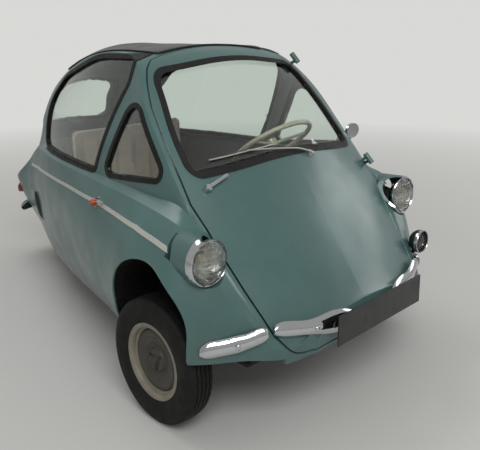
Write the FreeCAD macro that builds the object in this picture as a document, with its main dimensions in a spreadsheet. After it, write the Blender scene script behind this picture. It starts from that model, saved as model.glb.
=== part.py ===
# Bubble car: a three-wheeled cabin car whose whole front opens as one door.
# Millimetres. The car faces -Y, +X is its left side, +Z is up.
# The origin is on the ground under the middle of its length and width.

import FreeCAD, Part
import math
import os

V = FreeCAD.Vector
doc = FreeCAD.newDocument("BubbleCar")

# Driving dimensions

SIZES = {
    "wall": 24.0,
    "belt_height": 800.0,
    "door_gap": 6.0,
    "glass_thickness": 5.0,
    "glass_depth": 8.0,
    "seal_width": 20.0,
    "seal_stand": 3.0,
    "roof_cloth": 6.0,
    "roof_frame_width": 34.0,
    "front_axle_y": -755.0,
    "rear_axle_y": 1005.0,
    "half_track": 617.0,
    "kingpin_x": 600.0,
    "wheel_radius": 233.0,
    "tyre_width": 112.0,
    "tread_width": 78.0,
    "rim_seat_radius": 127.0,
    "rim_flange_radius": 143.0,
    "rim_width": 90.0,
    "rim_sheet": 4.0,
    "disc_offset": 18.0,
    "hub_radius": 46.0,
    "hub_bore_radius": 12.0,
    "rear_axle_length": 133.0,
    "running_gap": 0.05,
    "side_gap": 0.5,
    "kingpin_radius": 10.0,
    "eye_radius": 18.0,
    "eye_height": 24.0,
    "boss_height": 72.0,
    "beam_radius": 20.0,
    "beam_height": 190.0,
    "rail_radius": 19.0,
    "rail_x": 250.0,
    "rail_height": 193.0,
    "spring_radius": 24.0,
    "spring_x": 500.0,
    "arch_centre_y": -747.0,
    "arch_centre_z": 391.0,
    "arch_radius": 231.0,
    "well_radius": 250.0,
    "well_inner_x": 436.0,
    "well_sheet": 12.0,
    "floor_sheet": 14.0,
    "floor_height": 212.0,
    "toe_height": 300.0,
    "bulkhead_y": 322.0,
    "bulkhead_sheet": 12.0,
    "shelf_height": 784.0,
    "bumper_height": 66.0,
    "bumper_sheet": 5.0,
    "bumper_front_y": -1262.0,
    "bumper_half_width": 449.0,
    "bumper_sweep": 105.0,
    "bumper_bulge": 18.0,
    "bumper_rise": 26.0,
    "bumper_top": 420.0,
    "plate_width": 521.0,
    "plate_height": 111.0,
    "plate_sheet": 4.0,
    "plate_bolt_radius": 8.0,
    "plate_bolt_length": 18.0,
    "plate_centre_z": 390.0,
    "plate_front_y": -1275.0,
    "lamp_radius": 77.0,
    "lamp_x": 582.0,
    "lamp_y": -985.0,
    "lamp_z": 650.0,
    "lamp_rim": 10.0,
    "lamp_rim_depth": 18.0,
    "lamp_pocket": 62.0,
    "lamp_dome": 24.0,
    "fog_radius": 50.0,
    "fog_depth": 52.0,
    "fog_x": 531.0,
    "fog_y": -1118.0,
    "fog_z": 475.0,
    "seat_width": 800.0,
    "seat_front_y": -130.0,
    "seat_depth": 392.0,
    "seat_thickness": 120.0,
    "seat_top": 520.0,
    "squab_width": 690.0,
    "back_height": 400.0,
    "back_thickness": 60.0,
    "seat_base_width": 716.0,
    "seat_base_depth": 362.0,
    "seat_base_height": 174.0,
    "steering_x": 235.0,
    "steering_y": -505.0,
    "steering_z": 868.0,
    "steering_rise": 53.0,
    "steering_radius": 190.0,
    "steering_grip": 11.0,
    "column_radius": 19.0,
    "engine_width": 250.0,
    "engine_length": 300.0,
    "engine_height": 260.0,
    "engine_front_y": 420.0,
    "engine_bottom": 236.0,
    "engine_foot_radius": 16.0,
    "engine_foot_height": 45.0,
    "engine_foot_x": 60.0,
    "cross_tube_y": 640.0,
    "pin_radius": 6.0,
    "knuckle_radius": 12.0,
    "knuckle_length": 26.0,
    "lid_gap": 5.0,
}

sheet = doc.addObject("Spreadsheet::Sheet", "Sizes")
for line, (name, value) in enumerate(SIZES.items(), 1):
    sheet.set("A%d" % line, name)
    sheet.set("B%d" % line, "%g" % value)
    sheet.setAlias("B%d" % line, name)
doc.recompute()


def size(name):
    """A driving dimension, read from the sheet."""
    return float(getattr(sheet, name))


# Hull sections, front to rear
# Columns: y, crown_z, rail_x, rail_z, bulge, belt_x, belt_z, crease_x, crease_z,
# side_x, side_z, sill_x, sill_z
# The crown arc runs from rail to rail. The glass arc falls from rail to belt and
# bulges outwards. The shoulder joins belt and crease. The side arc goes through
# the side point down to the sill.

HULL = (
    (-1208, 392, 262, 362, 1, 282, 354, 292, 345, 300, 300, 300, 240),
    (-1194, 418, 350, 361, 1, 366, 356, 378, 348, 388, 300, 388, 240),
    (-1165, 452, 424, 366, 1, 436, 360, 446, 351, 455, 300, 455, 240),
    (-1100, 543, 466, 440, 1, 480, 438, 492, 428, 519, 350, 522, 240),
    (-1040, 630, 481, 512, 1, 496, 514, 530, 508, 592, 400, 606, 240),
    (-975, 720, 497, 596, 1, 514, 604, 575, 612, 655, 490, 670, 240),
    (-900, 820, 511, 695, 1, 526, 704, 590, 712, 682, 590, 692, 240),
    (-800, 942, 524, 804, 2, 533, 780, 585, 750, 690, 590, 690, 240),
    (-650, 1103, 511, 985, 8, 535, 795, 580, 772, 680, 600, 640, 225),
    (-520, 1240, 482, 1142, 16, 534, 803, 572, 783, 650, 600, 588, 218),
    (-420, 1303, 424, 1244, 24, 529, 807, 562, 787, 628, 600, 550, 214),
    (-250, 1314, 386, 1296, 28, 511, 810, 542, 791, 597, 592, 500, 212),
    (0, 1314, 360, 1281, 30, 479, 812, 505, 795, 537, 585, 450, 212),
    (300, 1302, 311, 1200, 28, 419, 812, 445, 794, 463, 572, 385, 212),
    (600, 1190, 247, 1072, 22, 315, 810, 346, 782, 372, 559, 305, 212),
    (800, 1023, 194, 928, 10, 221, 790, 276, 732, 299, 546, 230, 212),
    (1000, 773, 145, 715, 4, 151, 705, 231, 628, 230, 513, 150, 212),
    (1170, 612, 107, 588, 2, 112, 580, 215, 526, 195, 443, 95, 235),
    (1262, 512, 52, 508, 1, 84, 499, 116, 480, 108, 425, 64, 300),
)
HALF_LENGTH = 1235.0
HULL_FOOT = 120.0


def hull_section(row, inset):
    """One cross-section of the hull, every corner moved inwards by inset."""
    y, crown = row[:2]
    rail, belt, crease, side, sill = row[2:4], row[5:7], row[7:9], row[9:11], row[11:13]
    foot = (row[11], HULL_FOOT - abs(inset))
    corners = ((0, crown), rail, belt, crease, side, sill, foot)
    moved = []
    for before, here, after in zip(corners, corners[1:], corners[2:]):
        across = after[0] - before[0]
        rise = after[1] - before[1]
        length = math.hypot(across, rise)
        moved.append((here[0] + inset * rise / length, here[1] - inset * across / length))
    rail, belt, crease, side, sill = moved
    foot = (sill[0], foot[1])
    reach = math.hypot(belt[0] - rail[0], belt[1] - rail[1])
    glass = ((rail[0] + belt[0]) / 2 - row[4] * (belt[1] - rail[1]) / reach,
             (rail[1] + belt[1]) / 2 + row[4] * (belt[0] - rail[0]) / reach)
    y = y * (1 - inset / HALF_LENGTH)

    def right(point):
        return V(point[0], y, point[1])

    def left(point):
        return V(-point[0], y, point[1])

    edges = [Part.Arc(left(rail), V(0, y, crown - inset), right(rail)).toShape()]
    edges.append(Part.Arc(right(rail), right(glass), right(belt)).toShape())
    edges.append(Part.makeLine(right(belt), right(crease)))
    edges.append(Part.Arc(right(crease), right(side), right(sill)).toShape())
    edges.append(Part.makeLine(right(sill), right(foot)))
    edges.append(Part.makeLine(right(foot), left(foot)))
    edges.append(Part.makeLine(left(foot), left(sill)))
    edges.append(Part.Arc(left(sill), left(side), left(crease)).toShape())
    edges.append(Part.makeLine(left(crease), left(belt)))
    edges.append(Part.Arc(left(belt), left(glass), left(rail)).toShape())
    return Part.Wire(edges)


def hull(inset):
    """The solid hull, its skin moved inwards by inset."""
    return Part.makeLoft([hull_section(row, inset) for row in HULL], True, False)


# Outlines: a closed loop of corners (across, up, corner radius)

WINDSCREEN = ((0, 912, 2000), (472, 866, 45), (462, 1020, 700), (400, 1240, 95),
              (0, 1288, 1500), (-400, 1240, 95), (-462, 1020, 700), (-472, 866, 45))
SIDE_WINDOW = ((-380, 1297, 40), (-60, 1290, 700), (330, 1180, 250), (478, 1055, 150),
               (500, 806, 50), (-195, 808, 45), (-391, 1187, 100))
QUARTER_WINDOW = ((-462, 1190, 85), (-249, 804, 40), (-728, 852, 48))
REAR_WINDOW = ((228, 862, 60), (178, 1110, 70), (0, 1140, 600), (-178, 1110, 70),
               (-228, 862, 60))


def rounded_loop(corners, place):
    """A wire of straight runs and tangent arcs; place turns (u, v) into a point."""
    count = len(corners)
    ends = []
    for i, (u, v, radius) in enumerate(corners):
        before = corners[i - 1]
        after = corners[(i + 1) % count]
        corner = V(u, v, 0)
        towards = (V(before[0], before[1], 0) - corner).normalize()
        away = (V(after[0], after[1], 0) - corner).normalize()
        half = towards.getAngle(away) / 2
        reach = radius / math.tan(half)
        middle = (towards + away).normalize() * (radius / math.sin(half) - radius)
        ends.append((corner + towards * reach, corner + middle, corner + away * reach))
    edges = []
    for i, (first, middle, last) in enumerate(ends):
        edges.append(Part.Arc(place(first), place(middle), place(last)).toShape())
        edges.append(Part.makeLine(place(last), place(ends[(i + 1) % count][0])))
    return Part.Wire(edges)


def across_y(point):
    return V(point.x, 0, point.y)


def across_x(point):
    return V(0, point.x, point.y)


def across_z(point):
    return V(point.x, point.y, 0)


def prism(wire, start, run, inset=0.0):
    """The loop, moved inwards by inset, carried from start along run."""
    if inset:
        wire = wire.makeOffset2D(-inset)
    face = Part.Face(wire)
    face.translate(start)
    return face.extrude(run)


def mirrored(shape):
    return shape.mirror(V(0, 0, 0), V(1, 0, 0))


def both_sides(shape):
    return Part.makeCompound([shape, mirrored(shape)])


def largest(shape):
    return max(shape.Solids, key=lambda solid: solid.Volume)


def solids_of(shape):
    """The shape as one solid, or as a compound of its solids."""
    found = [s for s in shape.Solids if s.Volume > 1.0]
    return found[0] if len(found) == 1 else Part.makeCompound(found)


half_space = Part.makeBox(900, 3000, 1700, V(0, -1500, -100))


def half_hull(inset):
    return hull(inset).common(half_space)


def whole(shape):
    """The left half and its mirror image, joined where they meet."""
    return solids_of(shape.fuse(mirrored(shape)))


wall = size("wall")
gap = size("door_gap")
outer = half_hull(0)
inner = half_hull(wall)
glass_out = half_hull(size("glass_depth"))
glass_in = half_hull(size("glass_depth") + size("glass_thickness"))
seal_out = half_hull(-size("seal_stand"))
cloth_out = half_hull(-size("roof_cloth"))

# Edge of the front door, left half, from the header down to the nose: x, y, z
# Its cut runs towards a point inside the cabin.

DOOR_EDGE = ((0, -360, 1318), (298, -388, 1305), (360, -397, 1284), (410, -436, 1250),
             (446, -484, 1200), (478, -552, 1115), (498, -648, 1000), (507, -740, 885),
             (514, -812, 794), (506, -889, 714), (491, -961, 620), (471, -1033, 525),
             (454, -1099, 446), (440, -1144, 387), (412, -1177, 348), (382, -1190, 326),
             (342, -1199, 314), (0, -1208, 310))
DOOR_FOCUS = V(0, -350, 750)
DOOR_FRONT = V(0, -1750, 1100)


def door_cone(inset):
    """All space in front of the door's edge, that edge moved inwards by inset."""
    ring = [V(*point) - DOOR_FOCUS for point in DOOR_EDGE]
    ring += [V(-p.x, p.y, p.z) for p in reversed(ring[1:-1])]
    normals = [p.cross(ring[(i + 1) % len(ring)]).normalize() for i, p in enumerate(ring)]
    if normals[0].z < 0:
        normals = [n * -1 for n in normals]
    moved = []
    for i, point in enumerate(ring):
        bisector = (normals[i - 1] + normals[i]).normalize()
        point = point - bisector * (inset / bisector.dot(normals[i]))
        moved.append(DOOR_FOCUS + point * 1.35)
    faces = []
    for i, point in enumerate(moved):
        after = moved[(i + 1) % len(moved)]
        for tip in (DOOR_FOCUS, DOOR_FRONT):
            faces.append(Part.Face(Part.makePolygon([tip, point, after, tip])))
    solid = Part.makeSolid(Part.makeShell(faces))
    if solid.Volume < 0:
        solid.reverse()
    return solid


# Lower edge of the body, seen from the side: y, z

TAIL_EDGE = ((800, 212), (1000, 222), (1170, 250), (1262, 300), (1400, 300), (1400, 0))
SIDE_EDGE = ((-1300, 0), (-1300, 318), (-975, 318), (-900, 290), (-800, 250), (-650, 225),
             (-520, 218), (-420, 212)) + TAIL_EDGE
floor_z = size("floor_height")
toe_z = size("toe_height")
TOE = ((-1110, toe_z), (-1000, floor_z))
MID_EDGE = ((-1300, 0), (-1300, toe_z)) + TOE + TAIL_EDGE


def side_profile(points, start_x, end_x):
    """A closed outline (y, z) carried across from start_x to end_x."""
    loop = [V(start_x, y, z) for y, z in points]
    return Part.Face(Part.makePolygon(loop + [loop[0]])).extrude(V(end_x - start_x, 0, 0))


# Wheel arches: the opening in the side, and the well that walls it off

well_x = size("well_inner_x")
well_sheet = size("well_sheet")


def arch_loop(radius, grow, front_y, start_x, end_x):
    """Half a circle over the wheel, open downwards, carried across the car."""
    cy = size("arch_centre_y")
    cz = size("arch_centre_z")
    rear = V(start_x, cy + radius, cz)
    front = V(start_x, cy - radius, cz)
    low_rear = V(start_x, cy + radius + 130 + grow, 100)
    low_front = V(start_x, front_y, 100)
    edges = [Part.Arc(rear, V(start_x, cy, cz + radius), front).toShape()]
    if front_y < cy - radius - 10:
        nose = V(start_x, front_y, cz + grow)
        turn = V(start_x, cy - radius, cz + grow)
        if grow:
            edges.append(Part.makeLine(front, turn))
        edges.append(Part.makeLine(turn, nose))
        front = nose
    edges.append(Part.makeLine(front, low_front))
    edges.append(Part.makeLine(low_front, low_rear))
    edges.append(Part.makeLine(low_rear, rear))
    return Part.Face(Part.Wire(edges)).extrude(V(end_x - start_x, 0, 0))


arch_r = size("arch_radius")
well_r = size("well_radius")
well_block = arch_loop(well_r + well_sheet, well_sheet, -1300, well_x - well_sheet, 800)
well_void = arch_loop(well_r, 0, -1300, well_x, 800).common(inner)
well_core = arch_loop(well_r, 0, size("arch_centre_y") - well_r - 3, well_x, well_x + 72)
rear_hub = V(-75, size("rear_axle_y"), size("wheel_radius"))
rear_clear = Part.makeCylinder(size("wheel_radius") + 16, 150, rear_hub, V(1, 0, 0))
arch_cut = arch_loop(arch_r, 0, size("arch_centre_y") - arch_r - 3, well_x + 60, 800)

# Windows cut through the walls: outlines with their prisms

side_loop = rounded_loop(SIDE_WINDOW, across_x)
quarter_loop = rounded_loop(QUARTER_WINDOW, across_x)
screen_loop = rounded_loop(WINDSCREEN, across_y)
rear_loop = rounded_loop(REAR_WINDOW, across_y)

OPENINGS = {
    "side_window": (side_loop, V(150, 0, 0), V(500, 0, 0)),
    "quarter_window": (quarter_loop, V(150, 0, 0), V(500, 0, 0)),
    "rear_window": (rear_loop, V(0, 450, 0), V(0, 600, 0)),
    "windscreen": (screen_loop, V(0, -1000, 0), V(0, 560, 0)),
}


def opening(name, inset=0.0):
    return prism(*OPENINGS[name], inset)


# Roof cloth, its left half from above: across, along

ROOF = ((0, -352), (270, -377), (300, -380), (338, -290), (346, 0), (306, 250), (255, 430),
        (150, 490), (0, 505))


def roof_prism(inset):
    """The roof cloth's outline from above, moved inwards by inset."""
    left = [V(x, y, 1120) for x, y in ROOF]
    right = [V(-x, y, 1120) for x, y in reversed(ROOF[1:-1])]
    loop = Part.makePolygon(left + right + [left[0]])
    if inset:
        loop = loop.makeOffset2D(-inset)
    return Part.Face(loop).extrude(V(0, 0, 300))


# Engine lid: its outline lies on the slope of the tail (across, down the slope)

LID_CENTRE = V(0, 1080, 700)
LID_DOWN = V(0, 0.65, -0.76)
LID_OUT = V(0, 0.76, 0.65)
lid_loop = rounded_loop(((132, -165, 30), (88, 150, 30), (-88, 150, 30), (-132, -165, 30)),
                        lambda p: V(p.x, 0, 0) + LID_DOWN * p.y)


def lid_prism(inset):
    return prism(lid_loop, LID_CENTRE - LID_OUT * 120, LID_OUT * 240, inset)


# Lamp pockets in the fenders

lamp_x = size("lamp_x")
lamp_y = size("lamp_y")
lamp_z = size("lamp_z")
lamp_r = size("lamp_radius")
lamp_rim = size("lamp_rim")
rim_depth = size("lamp_rim_depth")
lamp_front = V(lamp_x, lamp_y + rim_depth, lamp_z)
lamp_pocket = Part.makeCylinder(lamp_r, 140, V(lamp_x, lamp_y, lamp_z), V(0, 1, 0))
lamp_space = Part.makeCylinder(lamp_r + lamp_rim + 2, 200, lamp_front - V(0, 200, 0), V(0, 1, 0))
fairing = Part.makeLoft([Part.Wire(Part.makeCircle(r, at, V(0, 1, 0))) for r, at in (
    (lamp_r + lamp_rim - 1, lamp_front), (lamp_r + lamp_rim - 1, lamp_front + V(-10, 100, -2)),
    (lamp_r + lamp_rim - 12, lamp_front + V(-34, 210, -10)))], True, True)

# Body shell and door skin

outer = outer.cut(side_profile(SIDE_EDGE, well_x - well_sheet, 900))
outer = outer.cut(side_profile(MID_EDGE, -10, well_x - well_sheet))
cabin_void = inner.cut(well_block)
door_skin = outer.common(door_cone(gap)).cut(inner).cut(opening("windscreen"))
shell = outer.fuse(fairing).cut(door_cone(0)).cut(cabin_void).cut(well_void).cut(arch_cut)
shell = shell.cut(well_core).cut(lamp_space).cut(rear_clear)
for hole in ("side_window", "quarter_window", "rear_window"):
    shell = shell.cut(opening(hole))
shell = shell.cut(roof_prism(size("roof_frame_width"))).cut(lid_prism(0)).cut(lamp_pocket)
lid_skin = outer.common(lid_prism(size("lid_gap"))).cut(inner)
belt = size("belt_height")
above_belt = Part.makeBox(1600, 2800, 700, V(-800, -1400, belt))

parts = {}


def keep(name, shape):
    """A finished sub-part, under its own label."""
    item = doc.addObject("Part::Feature", name)
    item.Label = name
    item.Shape = shape
    item.Placement = shape.Placement
    parts[name] = item
    return item


def driven(kind, name, **cells):
    """A primitive whose measures follow the sheet's cells."""
    item = doc.addObject(kind, name)
    for measure, cell in cells.items():
        item.setExpression(measure, "Sizes." + cell)
    return item


def placed(item, x, y, z, axis=None):
    """Puts a primitive at the place that three expressions give, its length along axis."""
    if axis:
        item.Placement = FreeCAD.Placement(V(0, 0, 0), FreeCAD.Rotation(V(0, 0, 1), axis))
    for letter, rule in zip("xyz", (x, y, z)):
        item.setExpression("Placement.Base." + letter, rule)
    return item


def fused(name, *items):
    made = doc.addObject("Part::MultiFuse", name)
    made.Shapes = list(items)
    made.Refine = True
    return made


def cut_from(base, tool):
    made = doc.addObject("Part::Cut", base.Name + "_trimmed")
    made.Base = base
    made.Tool = tool
    return made


def keep_made(name, item):
    """A finished sub-part that the document itself worked out."""
    doc.recompute()
    item.Label = name
    parts[name] = item
    return item


cabin_frame = whole(shell.common(above_belt))
body_tub = whole(shell.cut(above_belt))
keep("cabin_frame", cabin_frame)
keep("body_tub", body_tub)
keep("door_panel", whole(door_skin))

# Seals and glass

seal_w = size("seal_width")
rings = {}
panes = {}
for name in OPENINGS:
    ring = opening(name).cut(opening(name, seal_w)).common(seal_out).cut(inner)
    pane = opening(name, seal_w).common(glass_out).cut(glass_in)
    paired = name in ("side_window", "quarter_window")
    if name == "windscreen":
        ring = ring.common(door_cone(gap))
    rings[name] = both_sides(ring) if paired else whole(ring)
    panes[name] = both_sides(pane) if paired else whole(pane)
keep("windscreen_seal", rings.pop("windscreen"))
keep("windscreen_glass", panes.pop("windscreen"))
keep("window_seals", solids_of(Part.makeCompound(list(rings.values()))))
keep("window_glass", solids_of(Part.makeCompound(list(panes.values()))))

side_clear = opening("side_window", -2)
cloth = roof_prism(0).common(half_space).common(cloth_out).cut(outer).cut(side_clear)
keep("roof_cloth", whole(largest(cloth)))

# Floor, with the toe board rising to the nose, and the bulkhead with its shelf

floor_t = size("floor_sheet")
FLOOR = ((-1200, toe_z),) + TOE + ((480, floor_z), (480, floor_z + floor_t),
         (TOE[1][0], floor_z + floor_t), (TOE[0][0], toe_z + floor_t), (-1200, toe_z + floor_t))
floor_half = side_profile(FLOOR, -10, 700).common(cabin_void)
keep("floor_pan", whole(floor_half.common(half_space)))
back_y = size("bulkhead_y")
back_t = size("bulkhead_sheet")
shelf_z = size("shelf_height")
WALLS = ((back_y, floor_z + floor_t), (back_y, shelf_z), (780, shelf_z), (780, shelf_z - back_t),
         (back_y + back_t, shelf_z - back_t), (back_y + back_t, floor_z + floor_t))
keep("rear_bulkhead", whole(side_profile(WALLS, -10, 700).common(cabin_void).common(half_space)))

# Small helpers for the running gear and the fittings


def rod(start, end, radius):
    """A round bar between two points."""
    run = V(*end) - V(*start)
    return Part.makeCylinder(radius, run.Length, V(*start), run)


def block(x0, x1, y0, y1, z0, z1):
    return Part.makeBox(x1 - x0, y1 - y0, z1 - z0, V(x0, y0, z0))


def joined(shapes):
    result = shapes[0].fuse(shapes[1:]) if len(shapes) > 1 else shapes[0]
    return result.removeSplitter()


def turned(outline, centre, axis, degrees=360):
    """A closed outline of edges turned about an axis."""
    return Part.Face(Part.Wire(outline)).revolve(centre, axis, degrees)


# Wheels. An outline (across, radius) is turned about the axle; across is outwards.

rim_seat = size("rim_seat_radius")
flange_r = size("rim_flange_radius")
rim_half = size("rim_width") / 2
rim_t = size("rim_sheet")
tyre_r = size("wheel_radius")
tyre_half = size("tyre_width") / 2
tread_half = size("tread_width") / 2
hub_r = size("hub_radius")
disc_off = size("disc_offset")
bore_r = size("hub_bore_radius")


def lines(points):
    return [Part.makeLine(V(*a, 0), V(*b, 0)) for a, b in zip(points, points[1:])]


def tyre_outline():
    bead = rim_half - rim_t
    side = (tyre_r + rim_seat) / 2 + 6
    edge = (tread_half, tyre_r - 3)
    edges = [Part.Arc(V(-edge[0], edge[1], 0), V(0, tyre_r, 0), V(edge[0], edge[1], 0)).toShape()]
    for sign in (1, -1):
        edges.append(Part.Arc(V(sign * edge[0], edge[1], 0), V(sign * tyre_half, side, 0),
                              V(sign * bead, flange_r, 0)).toShape())
    edges += lines(((bead, flange_r), (bead, rim_seat), (-bead, rim_seat), (-bead, flange_r)))
    return Part.Wire(Part.__sortEdges__(edges)).Edges


def rim_outline():
    """The barrel with its flanges, one closed loop."""
    top = flange_r
    return lines(((-rim_half, top), (-rim_half, rim_seat - rim_t), (rim_half, rim_seat - rim_t),
                  (rim_half, top), (rim_half - rim_t, top), (rim_half - rim_t, rim_seat),
                  (-rim_half + rim_t, rim_seat), (-rim_half + rim_t, top), (-rim_half, top)))


def disc_outline():
    """The pressed disc from the barrel in to the hub, and the hub with its cap."""
    reach = rim_seat - rim_t
    front = [(reach, disc_off - rim_t), (reach, disc_off + 2), (reach - 12, disc_off + 8),
             (reach - 26, disc_off + 11), (reach - 44, disc_off + 7), (hub_r + 8, disc_off - 2),
             (hub_r, disc_off), (hub_r - 6, disc_off + 10), (22, disc_off + 13), (18, disc_off + 22),
             (0, disc_off + 24), (0, disc_off + 10), (bore_r + size("running_gap"), disc_off + 10),
             (bore_r + size("running_gap"), 9), (28, 9), (28, disc_off - 6), (hub_r + 6, disc_off - 8),
             (reach - 42, disc_off + 1), (reach - 26, disc_off + 5), (reach - 12, disc_off + 2),
             (reach, disc_off - rim_t)]
    return lines([(across, radius) for radius, across in front])


def wheel(across):
    """Tyre and rim about the X axis at the origin; across is 1 or -1, the outer side."""
    tyre = turned(tyre_outline(), V(0, 0, 0), V(1, 0, 0))
    rim = joined([turned(rim_outline(), V(0, 0, 0), V(1, 0, 0)),
                  turned(disc_outline(), V(0, 0, 0), V(1, 0, 0))])
    if across < 0:
        tyre = mirrored(tyre)
        rim = mirrored(rim)
    return tyre, rim


front_y = size("front_axle_y")
rear_y = size("rear_axle_y")
track = size("half_track")
WHEELS = (("front_left", track, front_y, 1), ("front_right", -track, front_y, -1),
          ("rear", 0, rear_y, 1))
for name, x, y, across in WHEELS:
    for kind, shape in zip(("tyre", "rim"), wheel(across)):
        shape.translate(V(x, y, tyre_r))
        keep("%s_%s" % (name, kind), shape)

# Steered knuckles: two eyes on the kingpin, the web between them and the stub axle

pin_x = size("kingpin_x")
eye_r = size("eye_radius")
eye_h = size("eye_height")
boss_h = size("boss_height")
king_r = size("kingpin_radius")
side_gap = size("side_gap")
boss_low = tyre_r - boss_h / 2
boss_high = tyre_r + boss_h / 2
eyes = [Part.makeCylinder(eye_r, eye_h, V(pin_x, front_y, boss_high + side_gap)),
        Part.makeCylinder(eye_r, eye_h, V(pin_x, front_y, boss_low - side_gap - eye_h))]
ears = [block(pin_x, track + 4, front_y - eye_r, front_y + eye_r, z, z + eye_h)
        for z in (boss_high + side_gap, boss_low - side_gap - eye_h)]
web = block(pin_x + eye_r + 1, track + 4, front_y - eye_r, front_y + eye_r, boss_low - side_gap,
            boss_high + side_gap)
stub = rod((track + 3, front_y, tyre_r), (track + disc_off + 9, front_y, tyre_r), bore_r)
hole = Part.makeCylinder(king_r + size("running_gap"), 400, V(pin_x, front_y, 0))
arm = block(pin_x - 10, pin_x + 10, front_y, front_y + 96, boss_low - side_gap - eye_h,
            boss_low - side_gap - eye_h + 10)
knuckle = joined(eyes + ears + [web, stub, arm]).cut(hole)
keep("knuckle_left", knuckle)
keep("knuckle_right", mirrored(knuckle))

# Front axle beam with its bosses and kingpins, spring units and chassis rails

beam_r = size("beam_radius")
beam_z = size("beam_height")
pins = [Part.makeCylinder(king_r, boss_h + 2 * (eye_h + side_gap) + 4,
                          V(pin_x, front_y, boss_low - side_gap - eye_h - 2))]
bosses = [Part.makeCylinder(eye_r, boss_h, V(pin_x, front_y, boss_low))]
beam_end = pin_x - eye_r - 30
half_beam = joined([rod((0, front_y, beam_z), (beam_end, front_y, beam_z), beam_r),
                    rod((beam_end - 10, front_y, beam_z), (pin_x - 4, front_y, tyre_r + 3), 13)]
                   + bosses + pins)
keep("front_axle_beam", whole(half_beam))
rail_r = size("rail_radius")
rail_x = size("rail_x")
rail_z = size("rail_height")
spring_x = size("spring_x")
spring = rod((spring_x, front_y, beam_z), (spring_x, front_y, 760), size("spring_radius"))
spring = spring.cut(half_beam)
spring = spring.common(arch_loop(arch_r, 0, size("arch_centre_y") - arch_r - 3, well_x, 800))
keep("front_spring_units", both_sides(solids_of(spring)))
rear_cross_y = size("cross_tube_y")
pads = [block(rail_x - 30, rail_x + 30, y - 40, y + 40, rail_z - rail_r - 6, rail_z - rail_r + 8)
        for y in (-560, 420)]
frame_bars = pads + [rod((rail_x, -960, rail_z), (rail_x, rear_cross_y, rail_z), rail_r),
                     rod((0, rear_cross_y, rail_z), (rail_x + rail_r, rear_cross_y, rail_z), rail_r),
                     rod((0, 120, rail_z), (rail_x, 120, rail_z), rail_r)]
rails = joined(frame_bars).cut(half_beam)
keep("chassis_rails", whole(rails))

# Rear arm: two plates from the cross tube to the axle, and the axle

arm_y = rear_cross_y + 60
axle_reach = 92.0
fork = []
for side in (1, -1):
    fork.append(rod((side * 78, rear_y, tyre_r), (side * (axle_reach + 12), rear_y, tyre_r), 26))
    fork.append(rod((side * axle_reach, rear_y, tyre_r), (side * axle_reach, arm_y, rail_z + 10), 15))
fork.append(rod((-axle_reach - 15, arm_y, rail_z + 10), (axle_reach + 15, arm_y, rail_z + 10), 17))
for side in (1, -1):
    fork.append(rod((side * 60, arm_y, rail_z + 10), (side * 60, rear_cross_y, rail_z), 12))
rear_fork = joined(fork).cut(rails).cut(mirrored(rails))
rear_fork = rear_fork.cut(rod((-200, rear_y, tyre_r), (200, rear_y, tyre_r), bore_r))
keep("rear_arm", rear_fork)
axle = driven("Part::Cylinder", "rear_axle", Radius="hub_bore_radius", Height="rear_axle_length")
placed(axle, "-Sizes.rear_axle_length + Sizes.disc_offset + 9", "Sizes.rear_axle_y",
       "Sizes.wheel_radius", V(1, 0, 0))
keep_made("rear_axle", axle)

# Engine

case = driven("Part::Box", "engine_case", Length="engine_width", Width="engine_length",
              Height="engine_height")
placed(case, "-Sizes.engine_width / 2", "Sizes.engine_front_y", "Sizes.engine_bottom")
feet = []
for place, side in enumerate((-1, 1)):
    foot = driven("Part::Cylinder", "engine_foot_%d" % place, Radius="engine_foot_radius",
                  Height="engine_foot_height")
    placed(foot, "%g * Sizes.engine_foot_x" % side, "Sizes.cross_tube_y", "Sizes.rail_height")
    feet.append(foot)
motor = cut_from(fused("engine_with_feet", case, *feet), parts["chassis_rails"])
keep_made("engine_block", cut_from(motor, parts["rear_arm"]))

# Bumper blades: hollow bulged strips through their stations

blade_top = size("bumper_top")
blade_h = size("bumper_height")
blade_y = size("bumper_front_y")
blade_t = size("bumper_sheet")
blade_bulge = size("bumper_bulge")
blade_mid = blade_top - blade_h / 2
blade_x = size("bumper_half_width")


def strip(stations, thickness):
    """A blade through stations of x, y, middle z, half height, bulge and outward slope."""
    wires = []
    for x, y, mid, half, bulge, slope in stations:
        out = V(slope, -1, 0).normalize()

        def at(depth, z):
            return V(x, y, z) - out * depth

        edges = [Part.Arc(at(bulge, mid - half), at(0, mid), at(bulge, mid + half)).toShape(),
                 Part.makeLine(at(bulge, mid + half), at(bulge + thickness, mid + half)),
                 Part.Arc(at(bulge + thickness, mid + half), at(thickness, mid),
                          at(bulge + thickness, mid - half)).toShape(),
                 Part.makeLine(at(bulge + thickness, mid - half), at(bulge, mid - half))]
        wires.append(Part.Wire(edges))
    return Part.makeLoft(wires, True, False)


def section_back(x, y, mid, half, bulge, slope):
    """A section of the rear blade, which faces backwards and outwards."""
    out = V(0.38, 0.92, 0)
    front = [V(x, y, z) - out * d for d, z in ((bulge, mid - half), (0, mid), (bulge, mid + half))]
    back = [p - out * blade_t for p in reversed(front)]
    return Part.Wire([Part.Arc(*front).toShape(), Part.makeLine(front[2], back[0]),
                      Part.Arc(*back).toShape(), Part.makeLine(back[2], front[0])])


def on_bow(share, half, bulge):
    """A station on the door's blade, share of the way to its tip."""
    sweep = size("bumper_sweep")
    return (blade_x * share, blade_y + sweep * share ** 2, blade_mid + size("bumper_rise") * share ** 3,
            half, bulge, 2 * sweep * share / blade_x)


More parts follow.
